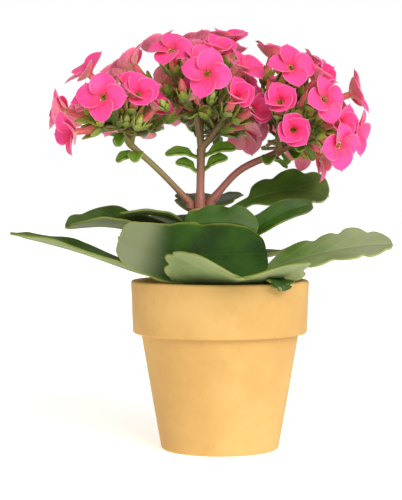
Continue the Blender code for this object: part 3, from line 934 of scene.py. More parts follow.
@dataclass(frozen=True)
class Growth:
    """The rules that place every stem, leaf and flower, in metres and degrees."""

    pot_height: float
    rim_radius: float
    soil_top: float
    crown_above_rim: float = 0.0245
    crown_lean: float = -0.0067
    crown_radius: float = 0.0046
    crown_thickness: float = 0.0040
    stem_radius: float = 0.0034
    foot_gap: float = 0.0008
    peduncle_spacing: float = 0.0034
    fork_pull: float = 0.42
    stalk_lead: float = 0.0022
    flower_width: float = 0.0170
    tube_length: float = 0.0090
    pedicel_length: float = 0.0045
    flower_spacing: float = 0.94
    settle_rounds: int = 80
    bloom_above_crown: float = 0.0185
    bloom_offset: float = 0.0017
    radii: dict[Head, float] = field(default_factory=lambda: {
        Head.LEFT: 0.0012, Head.CENTRE: 0.0016, Head.RIGHT: 0.0014})
    sides: dict[Head, int] = field(default_factory=lambda: {Head.LEFT: -1, Head.CENTRE: 0, Head.RIGHT: 1})
    bows: dict[Head, tuple[float, float, float]] = field(default_factory=lambda: {
        Head.LEFT: (0.0, 0.0, 0.7), Head.CENTRE: (0.0, 0.0, 0.0), Head.RIGHT: (-1.6, 0.0, 2.3)})

    def crown_top(self) -> Vector:
        """Centre of the top of the main stem."""
        return Vector((self.crown_lean, 0.0, self.pot_height + self.crown_above_rim))

    def stem_axis(self, height: float) -> Vector:
        """Centre of the main stem at a height."""
        foot, top = Vector((0.0, 0.0, self.soil_top)), self.crown_top()
        return foot.lerp(top, min(max((height - foot.z) / (top.z - foot.z), 0.0), 1.0))

    def stem_foot(self, height: float, azimuth: float) -> Vector:
        """Where a leaf stands just off the main stem.

        Args:
            height: The leaf's height.
            azimuth: Its compass way, in degrees.

        Returns:
            The point.
        """
        swollen = height > self.crown_top().z - 2 * self.crown_thickness
        radius = self.crown_radius if swollen else self.stem_radius
        return self.stem_axis(height) + direction(azimuth, 0) * (radius + self.foot_gap)

    def bloom_middle(self) -> Vector:
        """The middle of the bloom, which every head is placed from."""
        return self.crown_top() + Vector((self.bloom_offset, 0.0, self.bloom_above_crown))

    def peduncle_route(self, head: Head) -> list[Vector]:
        """The points of a peduncle's centre line, from the crown to its fork.

        Args:
            head: The head that it carries.

        Returns:
            The points.
        """
        start = self.crown_top() + Vector((self.peduncle_spacing * self.sides[head], 0.0, 0.0003))
        end = self.bloom_middle() + Vector(HEADS[head][0]) * self.flower_width
        lead = start + Vector((0.0, 0.0, self.radii[head]))
        return [start, lead, lead.lerp(end, 0.5) + Vector(self.bows[head]) * MM, end]

    def flower_length(self) -> float:
        """From a flower's face back to the end of its pedicel."""
        return self.tube_length + self.pedicel_length

    def blooms(self) -> list[Bloom]:
        """Place every open flower, crowded apart as far as its width asks.

        Returns:
            The flowers.
        """
        flowers = [Bloom(head, number, self.bloom_middle() + Vector(centre) * self.flower_width,
                         direction(azimuth, lift))
                   for head, (_, clusters) in HEADS.items()
                   for number, cluster in enumerate(clusters)
                   for centre, azimuth, lift in cluster]
        wanted = self.flower_spacing * self.flower_width
        for _ in range(self.settle_rounds):
            for index, first in enumerate(flowers):
                for second in flowers[index + 1:]:
                    apart = second.face - first.face
                    if apart.length < wanted:
                        push = apart.normalized() * (wanted - apart.length) / 2
                        first.face -= push
                        second.face += push
        return flowers

    def cluster_node(self, head: Head, members: Sequence[Bloom]) -> Vector:
        """Where the stalks of one cluster part."""
        ends = [bloom.face - bloom.facing * self.flower_length() for bloom in members]
        return (sum(ends, Vector()) / len(ends)).lerp(self.peduncle_route(head)[-1], self.fork_pull)


# ---------------------------------------------------------------- pot and soil

@dataclass
class ClayPot:
    """The tapered pot with its thick rim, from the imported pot's own height and radius."""

    growth: Growth
    rim_height: float = 0.0178
    rim_taper: float = 0.0006
    body_top: float = 0.0265
    base_radius: float = 0.0200
    base_rounding: float = 0.0012
    rim_rounding: float = 0.0008
    wall: float = 0.0026
    floor: float = 0.0030
    drain_radius: float = 0.0018
    drain_ring: float = 0.0115
    drains: int = 4
    steps: int = 144

    def inner_radius(self, height: float) -> float:
        """Inner radius at a height, straight from the floor to the mouth.

        Args:
            height: The height above the underside.

        Returns:
            The radius.
        """
        rim_base = self.growth.pot_height - self.rim_height
        low = self.base_radius + (self.body_top - self.base_radius) * self.floor / rim_base - self.wall
        mouth = self.growth.rim_radius - self.wall
        return low + (mouth - low) * (height - self.floor) / (self.growth.pot_height - self.floor)

    def corner(self, radius: float, height: float, rounding: float, start: float, end: float,
               points: int = 6) -> list[tuple[float, float]]:
        """Points of a rounded corner about a centre, between two angles in degrees."""
        angles = [math.radians(start + (end - start) * index / (points - 1)) for index in range(points)]
        return [(radius + rounding * math.cos(a), height + rounding * math.sin(a)) for a in angles]

    def profile(self) -> list[tuple[float, float]]:
        """The pot's outline from the middle of its floor, over the rim, to the middle of its base.

        Returns:
            The outline's points, as radius and height.
        """
        top, outer = self.growth.pot_height, self.growth.rim_radius
        rim_base, soft = top - self.rim_height, self.rim_rounding
        points = [(0.0, self.floor), (self.inner_radius(self.floor) - 0.002, self.floor)]
        points += self.corner(self.inner_radius(self.floor) - 0.001, self.floor + 0.001, 0.001, -90, -10, 4)
        points += [(self.inner_radius(height), height) for height in (0.02, 0.035, 0.05)]
        points += self.corner(self.inner_radius(top) + soft, top - soft, soft, 180, 90)
        points += self.corner(outer - soft, top - soft, soft, 90, 2)
        points += [(outer - self.rim_taper * share, top - self.rim_height * share) for share in (0.3, 0.6)]
        low_edge = outer - self.rim_taper
        points += self.corner(low_edge - soft, rim_base + soft, soft, -2, -80)
        points += [(self.body_top + 0.0009, rim_base - 0.00005)]
        points += self.corner(self.body_top + 0.0005, rim_base - 0.0005, 0.0005, 100, 185, 4)
        middle = (rim_base - 0.001) / 2
        points += [(self.base_radius + (self.body_top - self.base_radius) * middle / rim_base, middle)]
        soft = self.base_rounding
        points += self.corner(self.base_radius - soft, soft, soft, 5, -90)
        points += [(self.base_radius * 0.8, 0.0), (self.base_radius * 0.78, 0.0005), (0.0, 0.0005)]
        return points

    def build(self, palette: Palette) -> None:
        """Turn the pot, cut its drain holes and place it.

        Args:
            palette: The finishes.
        """
        shape = bmesh.new()
        spin_profile(shape, self.profile(), self.steps)
        holes = bmesh.new()
        for index in range(self.drains):
            turn = math.tau * (index + 0.5) / self.drains
            spot = Vector((math.cos(turn), math.sin(turn), 0.0)) * self.drain_ring
            bmesh.ops.create_cone(holes, cap_ends=True, segments=24, radius1=self.drain_radius,
                                  radius2=self.drain_radius, depth=4 * self.floor,
                                  matrix=Matrix.Translation(spot))
        item, cutter = link_shape("pot_turned", shape), link_shape("drain_cutter", holes)
        cut = item.modifiers.new("drains", "BOOLEAN")
        cut.operation = "DIFFERENCE"
        cut.object = cutter
        piece = place_piece("clay_pot", with_modifiers(item, cutter), [palette.clay], ["pot"])
        piece.data.set_sharp_from_angle(angle=math.radians(50))


@dataclass
class PottingSoil:
    """Peat with a crumbled surface, loose crumbs and a few pale grains."""

    growth: Growth
    pot: ClayPot
    lumps: float = 0.0011
    gap: float = 0.0006
    rings: int = 26
    steps: int = 84
    crumbs: int = 240
    grains: int = 46
    seed: int = 11

    def build(self, palette: Palette) -> None:
        """Build the soil and what lies on it.

        Args:
            palette: The finishes.
        """
        top = self.growth.soil_top - self.lumps
        wide = self.pot.inner_radius(top) - self.gap
        low = self.pot.floor + 0.0003
        profile = [(0.0, top)]
        profile += [(wide * (index + 1) / self.rings, top) for index in range(self.rings)]
        profile += [(self.pot.inner_radius(low) - 0.0012, low), (0.0, low)]
        shape = bmesh.new()
        for vert in spin_profile(shape, profile, self.steps):
            if vert.co.z > top - 0.0001:
                rough = noise.fractal(vert.co * 420.0, 0.9, 2.0, 4) * 0.6 + noise.noise(vert.co * 130.0)
                vert.co.z += self.lumps * max(min(rough, 1.0), -1.0)
        place_piece("potting_soil", shape, [palette.peat], ["soil"])
        chance = random.Random(self.seed)
        self.scatter("soil_crumbs", self.crumbs, (0.0004, 0.0011), palette.peat, chance, top, wide)
        self.scatter("perlite_grains", self.grains, (0.0004, 0.0009), palette.perlite, chance, top, wide)

    def scatter(self, name: str, count: int, sizes: tuple[float, float], material: bpy.types.Material,
                chance: random.Random, top: float, wide: float) -> None:
        """Scatter small lumps over the soil.

        Args:
            name: The piece's name.
            count: How many lumps.
            sizes: Their least and greatest radius.
            material: Their finish.
            chance: The source of random numbers.
            top: The soil's mean height.
            wide: The soil's radius.
        """
        shape = bmesh.new()
        for _ in range(count):
            size = chance.uniform(*sizes)
            away = math.sqrt(chance.uniform(0.03, 0.94)) * (wide - size)
            turn = chance.uniform(0, math.tau)
            place = Matrix.Translation((away * math.cos(turn), away * math.sin(turn), top + size * 0.5))
            made = bmesh.ops.create_icosphere(shape, subdivisions=1, radius=size, matrix=place)
            for vert in made["verts"]:
                vert.co += Vector([chance.uniform(-0.3, 0.3) * size for _ in range(3)])
        place_piece(name, shape, [material])


# ---------------------------------------------------------------- leaves

@dataclass(frozen=True)
class Blade:
    """One stalked blade. Lengths are in mm and angles in degrees.

    The foot stands at a share of the stem's free length and leaves it at a compass way. The
    midrib's heights count from the foot. A blade that lies across its stalk starts after its
    first few points, and a round stalk runs through those.
    """

    share: float
    azimuth: float
    midrib: tuple[tuple[float, float, float], ...]
    width: float
    stalk: float
    rolls: tuple[float, float]
    fold: float
    lobes: int = 6
    lobe_depth: float = 0.09
    wave: float = 0.5
    curl: float = 0.06
    skin: Skin = Skin.DARK
    peak: float = 0.56
    foot_power: float = 0.62
    tip_power: float = 0.46
    across_stalk: int = 0
    flat_foot: float = 0.0


LEAVES = {
    "leaf_long_left": Blade(0.162, 205,
        ((-15, -8, 4.5), (-28, -12, 8.2), (-45, -14, 14.3), (-58, -14, 18), (-69, -14, 20.6)),
        15, 0.24, (10, 2), 12, lobes=5, lobe_depth=0.05, tip_power=0.9, peak=0.45),
    "leaf_upper_left": Blade(0.515, 180,
        ((-15, -1, 4), (-25, -1, 8.2), (-38, -3, 10.8), (-52, -5, 10.2)),
        20, 0.22, (14, 12), 26, lobes=3, lobe_depth=0.16, tip_power=0.55),
    "leaf_crown_left": Blade(0.809, 185,
        ((-16, -1, 3.4), (-24, -3, 5), (-33.5, -6, 5)),
        12, 0.15, (-4, -4), 4, lobes=3, lobe_depth=0.03, wave=0.2, tip_power=0.8),
    "leaf_front": Blade(0.279, -70,
        ((6, -9, 6), (14, -12, 9), (15.6, -13, 9.6), (9, -15.6, 9.6), (-6, -17.2, 9.4), (-20, -18, 10.2),
         (-33, -18.5, 15)),
        21.5, 0.0, (66, 74), 4, lobes=5, lobe_depth=0.045, peak=0.5, foot_power=0.5, tip_power=0.3,
        skin=Skin.WAXY, across_stalk=2),
    "leaf_front_folded": Blade(0.103, -98,
        ((1, -11, 1.5), (4, -20.5, 5.4), (6, -30, 8.6), (7, -42, 9.4)),
        48, 0.20, (5, 5), 15, lobes=5, lobe_depth=0.06, curl=0.12, peak=0.55, foot_power=0.42, tip_power=0.20,
        flat_foot=1.6),
    "leaf_right": Blade(0.221, -8,
        ((12, -3, 4), (24, -5, 9), (36, -7, 12.2), (48, -7, 14.2), (57.5, -7, 14.6)),
        21, 0.25, (-30, -26), 4, lobes=5, lobe_depth=0.19, skin=Skin.PALE),
    "leaf_upper_right": Blade(0.809, 15,
        ((6, 5, 6.5), (16, 8, 11), (27, 8, 12.6), (37, 6, 10.6)),
        19, 0.38, (-38, -42), 6, lobes=3, lobe_depth=0.22, peak=0.6, skin=Skin.LIT),
    "leaf_folded_right": Blade(0.632, -8,
        ((6, -3, 2), (13, -4, 6.5), (22, -4, 11.2), (31, -3, 13.8)),
        8, 0.15, (-66, -60), 20, lobes=2, lobe_depth=0.04),
    "leaf_back": Blade(0.809, 95,
        ((-7, 12, 5), (-4, 22, 8), (-1, 34, 10.5)),
        25, 0.30, (0, 0), 8),
    "leaf_crown_front": Blade(0.721, -100,
        ((-4, -8, 2.5), (-11, -9.2, 4.2), (-12, -9.4, 4.4), (-8, -9.7, 4.6), (-1, -9.9, 5), (6, -9.9, 4.6),
         (12.5, -9.8, 2.2)),
        13, 0.0, (-50, -56), 4, lobes=3, lobe_depth=0.10, peak=0.6, tip_power=0.4, across_stalk=2),
    "leaf_back_left": Blade(0.632, 130,
        ((-13, 10, 5.5), (-19, 20, 8), (-26, 31, 9)),
        18, 0.30, (0, 0), 6),
    "leaf_back_right": Blade(0.338, 40,
        ((10, 9, 4.5), (20, 19, 6.5), (31, 31, 7.5)),
        20, 0.30, (8, 8), 6),
    "leaf_back_low": Blade(0.162, 110,
        ((-8, 14, 5), (-14, 26, 8.6), (-20, 40, 13), (-24, 50, 15)),
        24, 0.30, (0, 0), 10),
}


@dataclass
class BladeBuilder:
    """Builds the thin fleshy body of a leaf or bract along its midrib."""

    stalk_half: float = 0.0019
    tip_half: float = 0.0011
    thickness: float = 0.0008
    crowding: float = 1.35
    rows: int = 56
    columns: int = 16
    side_crowding: float = 1.25
    notch_power: float = 1.6
    notch_gain: float = 1.6
    notch_shift: float = 0.37
    ripple_pace: float = 19.0
    ripple_shift: float = 1.7
    groove_depth: float = 0.00035
    groove_width: float = 0.10
    stalk_steps: int = 14

    def half_width(self, blade: Blade, share: float, across: float) -> float:
        """Half-width of the blade where a column of the sheet lies, with its lobes.

        Args:
            blade: The blade.
            share: How far along the midrib.
            across: How far across, from -1 to 1.

        Returns:
            The half-width in metres.
        """
        along = max((share - blade.stalk) / (1 - blade.stalk), 0.0)
        rise = math.sin(math.pi / 2 * min(along / blade.peak, 1.0)) ** blade.foot_power
        fall = max(math.sin(math.pi / 2 * min((1 - along) / (1 - blade.peak), 1.0)), 0.0) ** blade.tip_power
        swell = rise * fall
        least = self.stalk_half + (self.tip_half - self.stalk_half) * blend(0.9, 1.0, share)
        half = least + max(blade.width / 2 * MM - least, 0.0) * swell
        shift = self.notch_shift if across > 0 else 0.0
        notch = (1 - abs(math.sin(math.pi * (blade.lobes * along**0.9 + shift)))) ** self.notch_power
        reach = blend(0.12, 0.4, along) * (1 - 0.35 * blend(0.93, 1.0, along))
        return half * (1 - blade.lobe_depth * self.notch_gain * notch * reach * abs(across) ** 2.5)

    def point(self, blade: Blade, route: Sequence[Vector], along: float, across: float) -> Vector:
        """A point of the blade's middle surface.

        Args:
            blade: The blade.
            route: Its midrib's points.
            along: How far along the sheet.
            across: How far across, from -1 to 1.

        Returns:
            The point.
        """
        share = 1 - (1 - along) ** self.crowding
        across = math.copysign(abs(across) ** self.side_crowding, across)
        point, tangent = smooth_path(route, share)
        side = tangent.cross(UP).normalized()
        up = side.cross(tangent)
        roll = math.radians(blade.rolls[0] + (blade.rolls[1] - blade.rolls[0]) * share)
        side, up = side * math.cos(roll) + up * math.sin(roll), up * math.cos(roll) - side * math.sin(roll)
        half = self.half_width(blade, share, across)
        opened = 1 - blade.flat_foot * (1 - share)
        lean = math.radians(blade.fold) * opened * min(half / self.stalk_half - 1, 1)
        wide = min(max(half / self.stalk_half - 1.2, 0.0), 1.0)
        phase = share * self.ripple_pace + (self.ripple_shift if across > 0 else 0.0)
        ripple = math.sin(phase) * blade.wave * MM * wide
        lift = blade.curl * half * across * across * wide + ripple * abs(across) ** 3
        groove = -self.groove_depth * math.exp(-(across / self.groove_width) ** 2) * wide
        return (point + side * across * half * math.cos(lean)
                + up * (abs(across) * half * math.sin(lean) + lift + groove))

    def build(self, name: str, blade: Blade, route: Sequence[Vector],
              finishes: Sequence[bpy.types.Material], slot: str, node: str) -> None:
        """Build one blade and place it.

        Args:
            name: The piece's name.
            blade: The blade.
            route: Its midrib's points.
            finishes: The finish of its upper and of its under side.
            slot: Not used.
            node: The plain node that it stands for.
        """
        shape = bmesh.new()
        if blade.across_stalk:
            start = blade.across_stalk
            steps = range(self.stalk_steps + 1)
            reach = start / (start + 1) / self.stalk_steps
            dense = [smooth_path(route[:start + 2], step * reach)[0] for step in steps]
            sweep(shape, dense, [self.stalk_half * (0.85 - 0.02 * step) for step in steps], 12)
            route = route[start + 1:]
        sheet(shape, self.rows, self.columns, lambda along, across: self.point(blade, route, along, -across),
              self.thickness, 0, 1)
        place_piece(name, shape, finishes, [node], 1)


@dataclass
class Foliage:
    """Every leaf of the main stem."""

    growth: Growth
    overhang_angle: float = -53
    overhang_foot: float = -30
    overhang_share: float = 0.132
    overhang_stalk: tuple[float, float] = (-13, 2.5)
    overhang: tuple[tuple[float, float], ...] = ((-3, 1.5), (1.5, 1.6), (3.4, 0.2), (4.0, -2.0))
    attach: float = 0.0016

    def level(self, share: float) -> float:
        """Height of a leaf's foot at a share of the stem's free length above the soil."""
        return self.growth.soil_top + share * (self.growth.crown_top().z - self.growth.soil_top)

    def route(self, blade: Blade) -> list[Vector]:
        """The midrib of a leaf, from its foot at the stem.

        Args:
            blade: The leaf.

        Returns:
            The midrib's points.
        """
        level = self.level(blade.share)
        middle = Vector((0.0, 0.0, level))
        foot = self.growth.stem_foot(level, blade.azimuth) - direction(blade.azimuth, 0) * self.attach
        return [foot] + [middle + Vector(point) * MM for point in blade.midrib]

    def overhang_route(self) -> list[Vector]:
        """The midrib of the small leaf that bends over the rim.

        Returns:
            The midrib's points.
        """
        growth = self.growth
        way, rim = direction(self.overhang_angle, 0), Vector((0.0, 0.0, growth.pot_height))
        level, (inset, above) = self.level(self.overhang_share), self.overhang_stalk
        foot = growth.stem_foot(level, self.overhang_foot) - direction(self.overhang_foot, 0) * self.attach
        bend = way * (growth.rim_radius + inset * MM) + UP * (level + above * MM)
        over = [rim + way * (growth.rim_radius + out * MM) + UP * up * MM for out, up in self.overhang]
        return [foot, bend, *over]

    def build(self, palette: Palette) -> None:
        """Build every leaf.

        Args:
            palette: The finishes.
        """
        builder = BladeBuilder()
        for node, blade in LEAVES.items():
            builder.build(node + "_blade", blade, self.route(blade), palette.skins[blade.skin], "leaf", node)
        small = Blade(0, 0, (), 10, 0.4, (0, 0), 0, lobes=4, lobe_depth=0.30, tip_power=0.6)
        builder.build("leaf_over_rim_blade", small, self.overhang_route(), palette.skins[small.skin], "leaf",
                      "leaf_over_rim")


# ---------------------------------------------------------------- stems and bracts

# Bracts: the peduncle, the share of its length, compass way, lift and roll (degrees), length in mm.
BRACTS = {
    "bract_low_left": (Head.CENTRE, 0.58, 200, 22, 40, 8.5),
    "bract_low_right": (Head.CENTRE, 0.62, -20, 25, -45, 9.5),
    "bract_high_left": (Head.CENTRE, 0.86, 195, 5, 35, 11.5),
    "bract_high_right": (Head.CENTRE, 0.89, -15, 12, -45, 11.5),
    "bract_left_front": (Head.LEFT, 0.88, -95, -25, 0, 8.0),
    "bract_left_outer": (Head.LEFT, 0.84, 195, -15, 30, 8.0),
    "bract_right_front": (Head.RIGHT, 0.90, -100, -20, 0, 8.0),
    "bract_right_outer": (Head.RIGHT, 0.90, 35, -25, -20, 8.0),
}


@dataclass
class Stems:
    """The main stem and the three branched peduncles."""

    growth: Growth
    fork_radius: float = 0.0010
    stalk_radius: float = 0.0007
    voxel: float = 0.00030
    bract_width: float = 5.0
    bract_hold: float = 0.6
    bract_arch: float = 12
    socket_depth: float = 0.0080
    stem_rings: int = 40
    scar_pitch: float = 0.0052
    scar_height: float = 0.00022
    crown_rounding: float = 0.0011
    crown_bite: float = 0.0008
    foot_swell: float = 1.3
    route_steps: int = 18
    branch_steps: int = 8

    def main_stem(self) -> None:
        """The thick stem with its leaf scars and swollen crown."""
        growth = self.growth
        top = growth.crown_top()
        foot = growth.soil_top - self.socket_depth
        heights = [foot + (top.z - foot) * index / self.stem_rings for index in range(self.stem_rings + 1)]
        points, radii = [], []
        for height in heights:
            points.append(growth.stem_axis(height))
            swell = blend(top.z - 1.6 * growth.crown_thickness, top.z - 0.5 * growth.crown_thickness, height)
            scar = self.scar_height * max(math.cos(height * math.tau / self.scar_pitch), 0.0) ** 6
            shrink = blend(top.z - 0.001, top.z, height) * self.crown_rounding
            wide = growth.stem_radius + (growth.crown_radius - growth.stem_radius) * swell
            radii.append(wide + scar - shrink)
        shape = bmesh.new()
        sweep(shape, points, radii, 20)
        made = remeshed(shape, self.voxel, 3)
        finish = StemFinish("woody_stem", "6E7A3C", "A89468", growth.pot_height, top.z, "8E6A4A").material()
        place_piece("woody_stem", made, [finish], ["main_stem"])

    def peduncle(self, head: Head, flowers: Sequence[Bloom], finish: bpy.types.Material) -> None:
        """One peduncle with its forks and stalks melted into one skin.

        Args:
            head: Its head.
            flowers: Every open flower.
            finish: The peduncle's own finish.
        """
        growth = self.growth
        route = growth.peduncle_route(head)
        radius = growth.radii[head]
        shape = bmesh.new()
        shares = [step / self.route_steps for step in range(self.route_steps + 1)]
        dense = [smooth_path(route[1:], share)[0] for share in shares]
        radii = [radius * (1.18 - 0.28 * blend(0.0, 0.25, share) + 0.12 * blend(0.85, 1.0, share))
                 for share in shares]
        sweep(shape, [route[0] - UP * self.crown_bite, *dense], [radius * self.foot_swell, *radii], 12)
        for number in sorted({bloom.cluster for bloom in flowers if bloom.head is head}):
            members = [bloom for bloom in flowers if bloom.head is head and bloom.cluster == number]
            node = growth.cluster_node(head, members)
            self.branch(shape, [route[-1], route[-1].lerp(node, 0.5), node], self.fork_radius)
            for bloom in members:
                end = bloom.face - bloom.facing * growth.flower_length()
                self.branch(shape, [node, end - bloom.facing * growth.stalk_lead, end], self.stalk_radius)
        made = remeshed(shape, self.voxel, 3)
        place_piece(f"peduncle_{head.value}_stem", made, [finish], [f"peduncle_{head.value}"])

    def branch(self, shape: BMesh, points: Sequence[Vector], radius: float) -> None:
        """Add one curved stalk.

        Args:
            shape: The mesh to add to.
            points: Its route.
            radius: Its radius at its end; it is thicker at its start.
        """
        shares = [step / self.branch_steps for step in range(self.branch_steps + 1)]
        dense = [smooth_path(points, share)[0] for share in shares]
        radii = [radius * (1.25 - 0.25 * blend(0.0, 0.4, share)) for share in shares]
        sweep(shape, dense, radii, 10)

    def bracts(self, palette: Palette) -> None:
        """The small leaves on the peduncles.

        Args:
            palette: The finishes.
        """
        builder = BladeBuilder(stalk_half=0.0009, tip_half=0.0005, thickness=0.0007, crowding=1.2, rows=26,
                               columns=10)
        for node, (head, share, azimuth, lift, roll, length) in BRACTS.items():
            point, tangent = smooth_path(self.growth.peduncle_route(head)[1:], share)
            off = direction(azimuth, 0)
            off = (off - tangent * off.dot(tangent)).normalized()
            foot = point + off * self.growth.radii[head] * self.bract_hold
            middle = foot + direction(azimuth, lift + self.bract_arch) * length * MM / 2
            route = [foot, middle, foot + direction(azimuth, lift) * length * MM]
            blade = Blade(0, azimuth, (), self.bract_width, 0.18, (roll, roll), 8, lobes=1, lobe_depth=0.0,
                          wave=0.15, curl=0.2, skin=Skin.BRACT, peak=0.46, tip_power=0.95)
            builder.build(node + "_blade", blade, route, palette.skins[blade.skin], "bract", node)

    def build(self, flowers: Sequence[Bloom], palette: Palette) -> None:
        """Build every stem and bract.

        Args:
            flowers: Every open flower.
            palette: The finishes.
        """
        self.main_stem()
        low, high = self.growth.crown_top().z, self.growth.bloom_middle().z + 0.006
        skins = {
            Head.LEFT: ("94594A", "837C46", low, low + 0.014, "94704C"),
            Head.CENTRE: ("9C6456", "6E5A34", low + 0.006, high, "7E523E"),
            Head.RIGHT: ("96584E", "6F6C38", low + 0.014, high, "7E4238"),
        }
        finishes = {head: StemFinish(f"{head.value}_peduncle_skin", *skin).material()
                    for head, skin in skins.items()}
        for head in Head:
            self.peduncle(head, flowers, finishes[head])
        self.bracts(palette)


# ---------------------------------------------------------------- flowers

@dataclass
class FlowerShape:
    """Sizes of one flower, in metres and degrees. Its face is at the origin and faces +Z."""

    growth: Growth
    mouth: float = 0.0010
    petal_half: float = 0.0042
    petal_thickness: float = 0.00028
    petal_foot: float = 0.00075
    petal_least: float = 0.00025
    petal_tip: float = 0.0009
    petal_steps: int = 10
    rising: float = 58.0
    sepal_length: float = 0.0057
    sepal_half: float = 0.0015
    anther_ring: float = 0.00058
    anther_radius: float = 0.00026
    throat_depth: float = -0.0025
    throat_radius: float = 0.00095
    rows: int = 8
    columns: int = 6

    def petal_point(self, along: float, across: float, lift: float, reach: float, cup: float,
                    reflex: float) -> Vector:
        """A point of a petal that points along +X.

        Args:
            along: From the mouth, 0, to the tip, 1.
            across: From -1 to 1.
            lift: How far the petal stands up from flat, in degrees.
            reach: The petal's length.
            cup: How far its sides rise, as a share of its half-width.
            reflex: How far its tip bends back, in degrees.

        Returns:
            The point.
        """
        steps = self.petal_steps
        radius, height = self.mouth, 0.0
        for step in range(int(along * steps)):
            angle = self.petal_angle((step + 0.5) / steps, lift, reflex)
            radius += math.cos(angle) * reach / steps
            height += math.sin(angle) * reach / steps
        left = along - int(along * steps) / steps
        angle = self.petal_angle(along, lift, reflex)
        radius += math.cos(angle) * reach * left
        height += math.sin(angle) * reach * left
        swell = max(math.sin(math.pi * min(along, 1.0) ** 0.86), 0.0) ** 0.60
        half = self.petal_foot * (1 - along) ** 2 + self.petal_least
        half += (self.petal_half - self.petal_least) * swell
        point_out = self.petal_tip * max(1 - abs(across) * 2.2, 0.0) * blend(0.86, 1.0, along)
        rise = cup * half * across * across * (1 - 0.6 * along)
        return Vector((radius + point_out * math.cos(angle) - math.sin(angle) * rise,
                       across * half, height + point_out * math.sin(angle) + math.cos(angle) * rise))

    def petal_angle(self, along: float, lift: float, reflex: float) -> float:
        """Slope of a petal at a place along it, in radians."""
        foot = (self.rising - lift * 0.5) * (1 - blend(0.0, 0.3, along))
        return math.radians(lift + foot - reflex * blend(0.4, 1.0, along))

    def add_petals(self, shape: BMesh, chance: random.Random, lift: float, size: float,
                   indices: tuple[int, int]) -> None:
        """Add the four petals.

        Args:
            shape: The mesh to add to.
            chance: The source of random numbers.
            lift: How far they stand up from flat.
            size: Their size, as a share of a full petal.
            indices: Material indices of front and back.
        """
        for quarter in range(4):
            turn = 90 * quarter + chance.uniform(-6, 6)
            own_lift = lift + chance.uniform(-7, 7)
            reflex = chance.uniform(10, 34) * (1 - lift / 120)
            cup = chance.uniform(0.10, 0.30) + lift / 160
            reach = (self.growth.flower_width / 2 - self.mouth) * size * chance.uniform(0.97, 1.07)
            twist = chance.uniform(9, 15)
            petal = bmesh.new()
            sheet(petal, self.rows, self.columns,
                  lambda along, across: self.petal_point(along, across, own_lift, reach, cup, reflex),
                  self.petal_thickness, *indices)
            twisted = Matrix.Rotation(math.radians(twist), 4, "X")
            turned = Matrix.Rotation(math.radians(turn), 4, "Z") @ twisted
            bmesh.ops.transform(petal, matrix=turned, verts=petal.verts)
            join(shape, petal)

    def add_tube(self, shape: BMesh, indices: tuple[int, int, int]) -> None:
        """Add the corolla tube with its throat, and the pedicel below it.

        Args:
            shape: The mesh to add to.
            indices: Material indices of the tube, the pedicel and the throat.
        """
        tube, length = -self.growth.tube_length, -self.growth.flower_length()
        profile = [(0.0, -0.0022), (0.0006, -0.0018), (0.00085, -0.0002), (0.00105, 0.00028),
                   (0.00125, -0.0001), (0.0012, -0.0020), (0.0014, -0.0045), (0.0018, tube + 0.0018),
                   (0.0015, tube), (0.0008, tube - 0.0006), (0.00062, tube - 0.0014),
                   (0.0006, length + 0.0012), (0.00074, length), (0.0, length)]
        verts = spin_profile(shape, profile, 10)
        faces = list({face for vert in verts for face in vert.link_faces})
        for face in faces:
            middle = face.calc_center_median()
            face.material_index = indices[1] if middle.z < tube - 0.0006 else indices[0]
            # The throat's faces take the anther finish: painted shade in the throat, with the anthers' own
            # yellow and brown.
            if middle.z > self.throat_depth and middle.xy.length < self.throat_radius:
                face.material_index = indices[2]
        set_uv(shape, faces, lambda vert: (max(1 + vert.co.z / self.growth.tube_length, 0.0),
                                           math.atan2(vert.co.y, vert.co.x) / math.tau + 0.5))

    def add_calyx(self, shape: BMesh, chance: random.Random, index: int, spread: float = 1.0) -> None:
        """Add the four fleshy sepals.

        Args:
            shape: The mesh to add to.
            chance: The source of random numbers.
            index: Their material index.
            spread: How far their tips flare, as a share of an open flower's.
        """
        foot = -self.growth.tube_length - 0.0004
        for quarter in range(4):
            turn = 90 * quarter + 45 + chance.uniform(-8, 8)
            flare = chance.uniform(0.0004, 0.0012) * spread
            length = self.sepal_length * chance.uniform(0.9, 1.12)
            petal = bmesh.new()

            def place(along: float, across: float) -> Vector:
                """A point of the sepal that stands on +X.

                Args:
                    along: From its foot, 0, to its tip, 1.
                    across: From -1 to 1.

                Returns:
                    The point.
                """
                swell = 0.55 + 0.45 * math.sin(math.pi * along**0.8)
                half = self.sepal_half * swell * (1 - along**3) + 0.00012
                radius = 0.0009 + 0.0012 * blend(0.0, 0.35, along) + flare * along * along
                bend = -0.5 * across * across * half
                return Vector((radius + bend, across * half, foot + length * along))

            sheet(petal, 6, 4, place, 0.0004, index, index)
            bmesh.ops.transform(petal, matrix=Matrix.Rotation(math.radians(turn), 4, "Z"), verts=petal.verts)
            join(shape, petal)

    def add_stamens(self, shape: BMesh, chance: random.Random, index: int) -> None:
        """Add the anthers that show in the throat: four in a ring and one in the middle.

        Args:
            shape: The mesh to add to.
            chance: The source of random numbers.
            index: Their material index.
        """
        for number in range(5):
            turn = math.tau * number / 4 + chance.uniform(-0.3, 0.3)
            away = 0.0 if number == 4 else self.anther_ring
            height = chance.uniform(0.0001, 0.0005)
            place = Matrix.Translation((away * math.cos(turn), away * math.sin(turn), height))
            made = bmesh.ops.create_icosphere(shape, subdivisions=1, radius=self.anther_radius, matrix=place)
            for face in {face for vert in made["verts"] for face in vert.link_faces}:
                face.material_index = index


def join(shape: BMesh, other: BMesh) -> None:
    """Add one mesh to another and free it.

    Args:
        shape: The mesh to add to.
        other: The mesh added.
    """
    held = bpy.data.meshes.new("held")
    other.to_mesh(held)
    other.free()
    shape.from_mesh(held)
    bpy.data.meshes.remove(held)


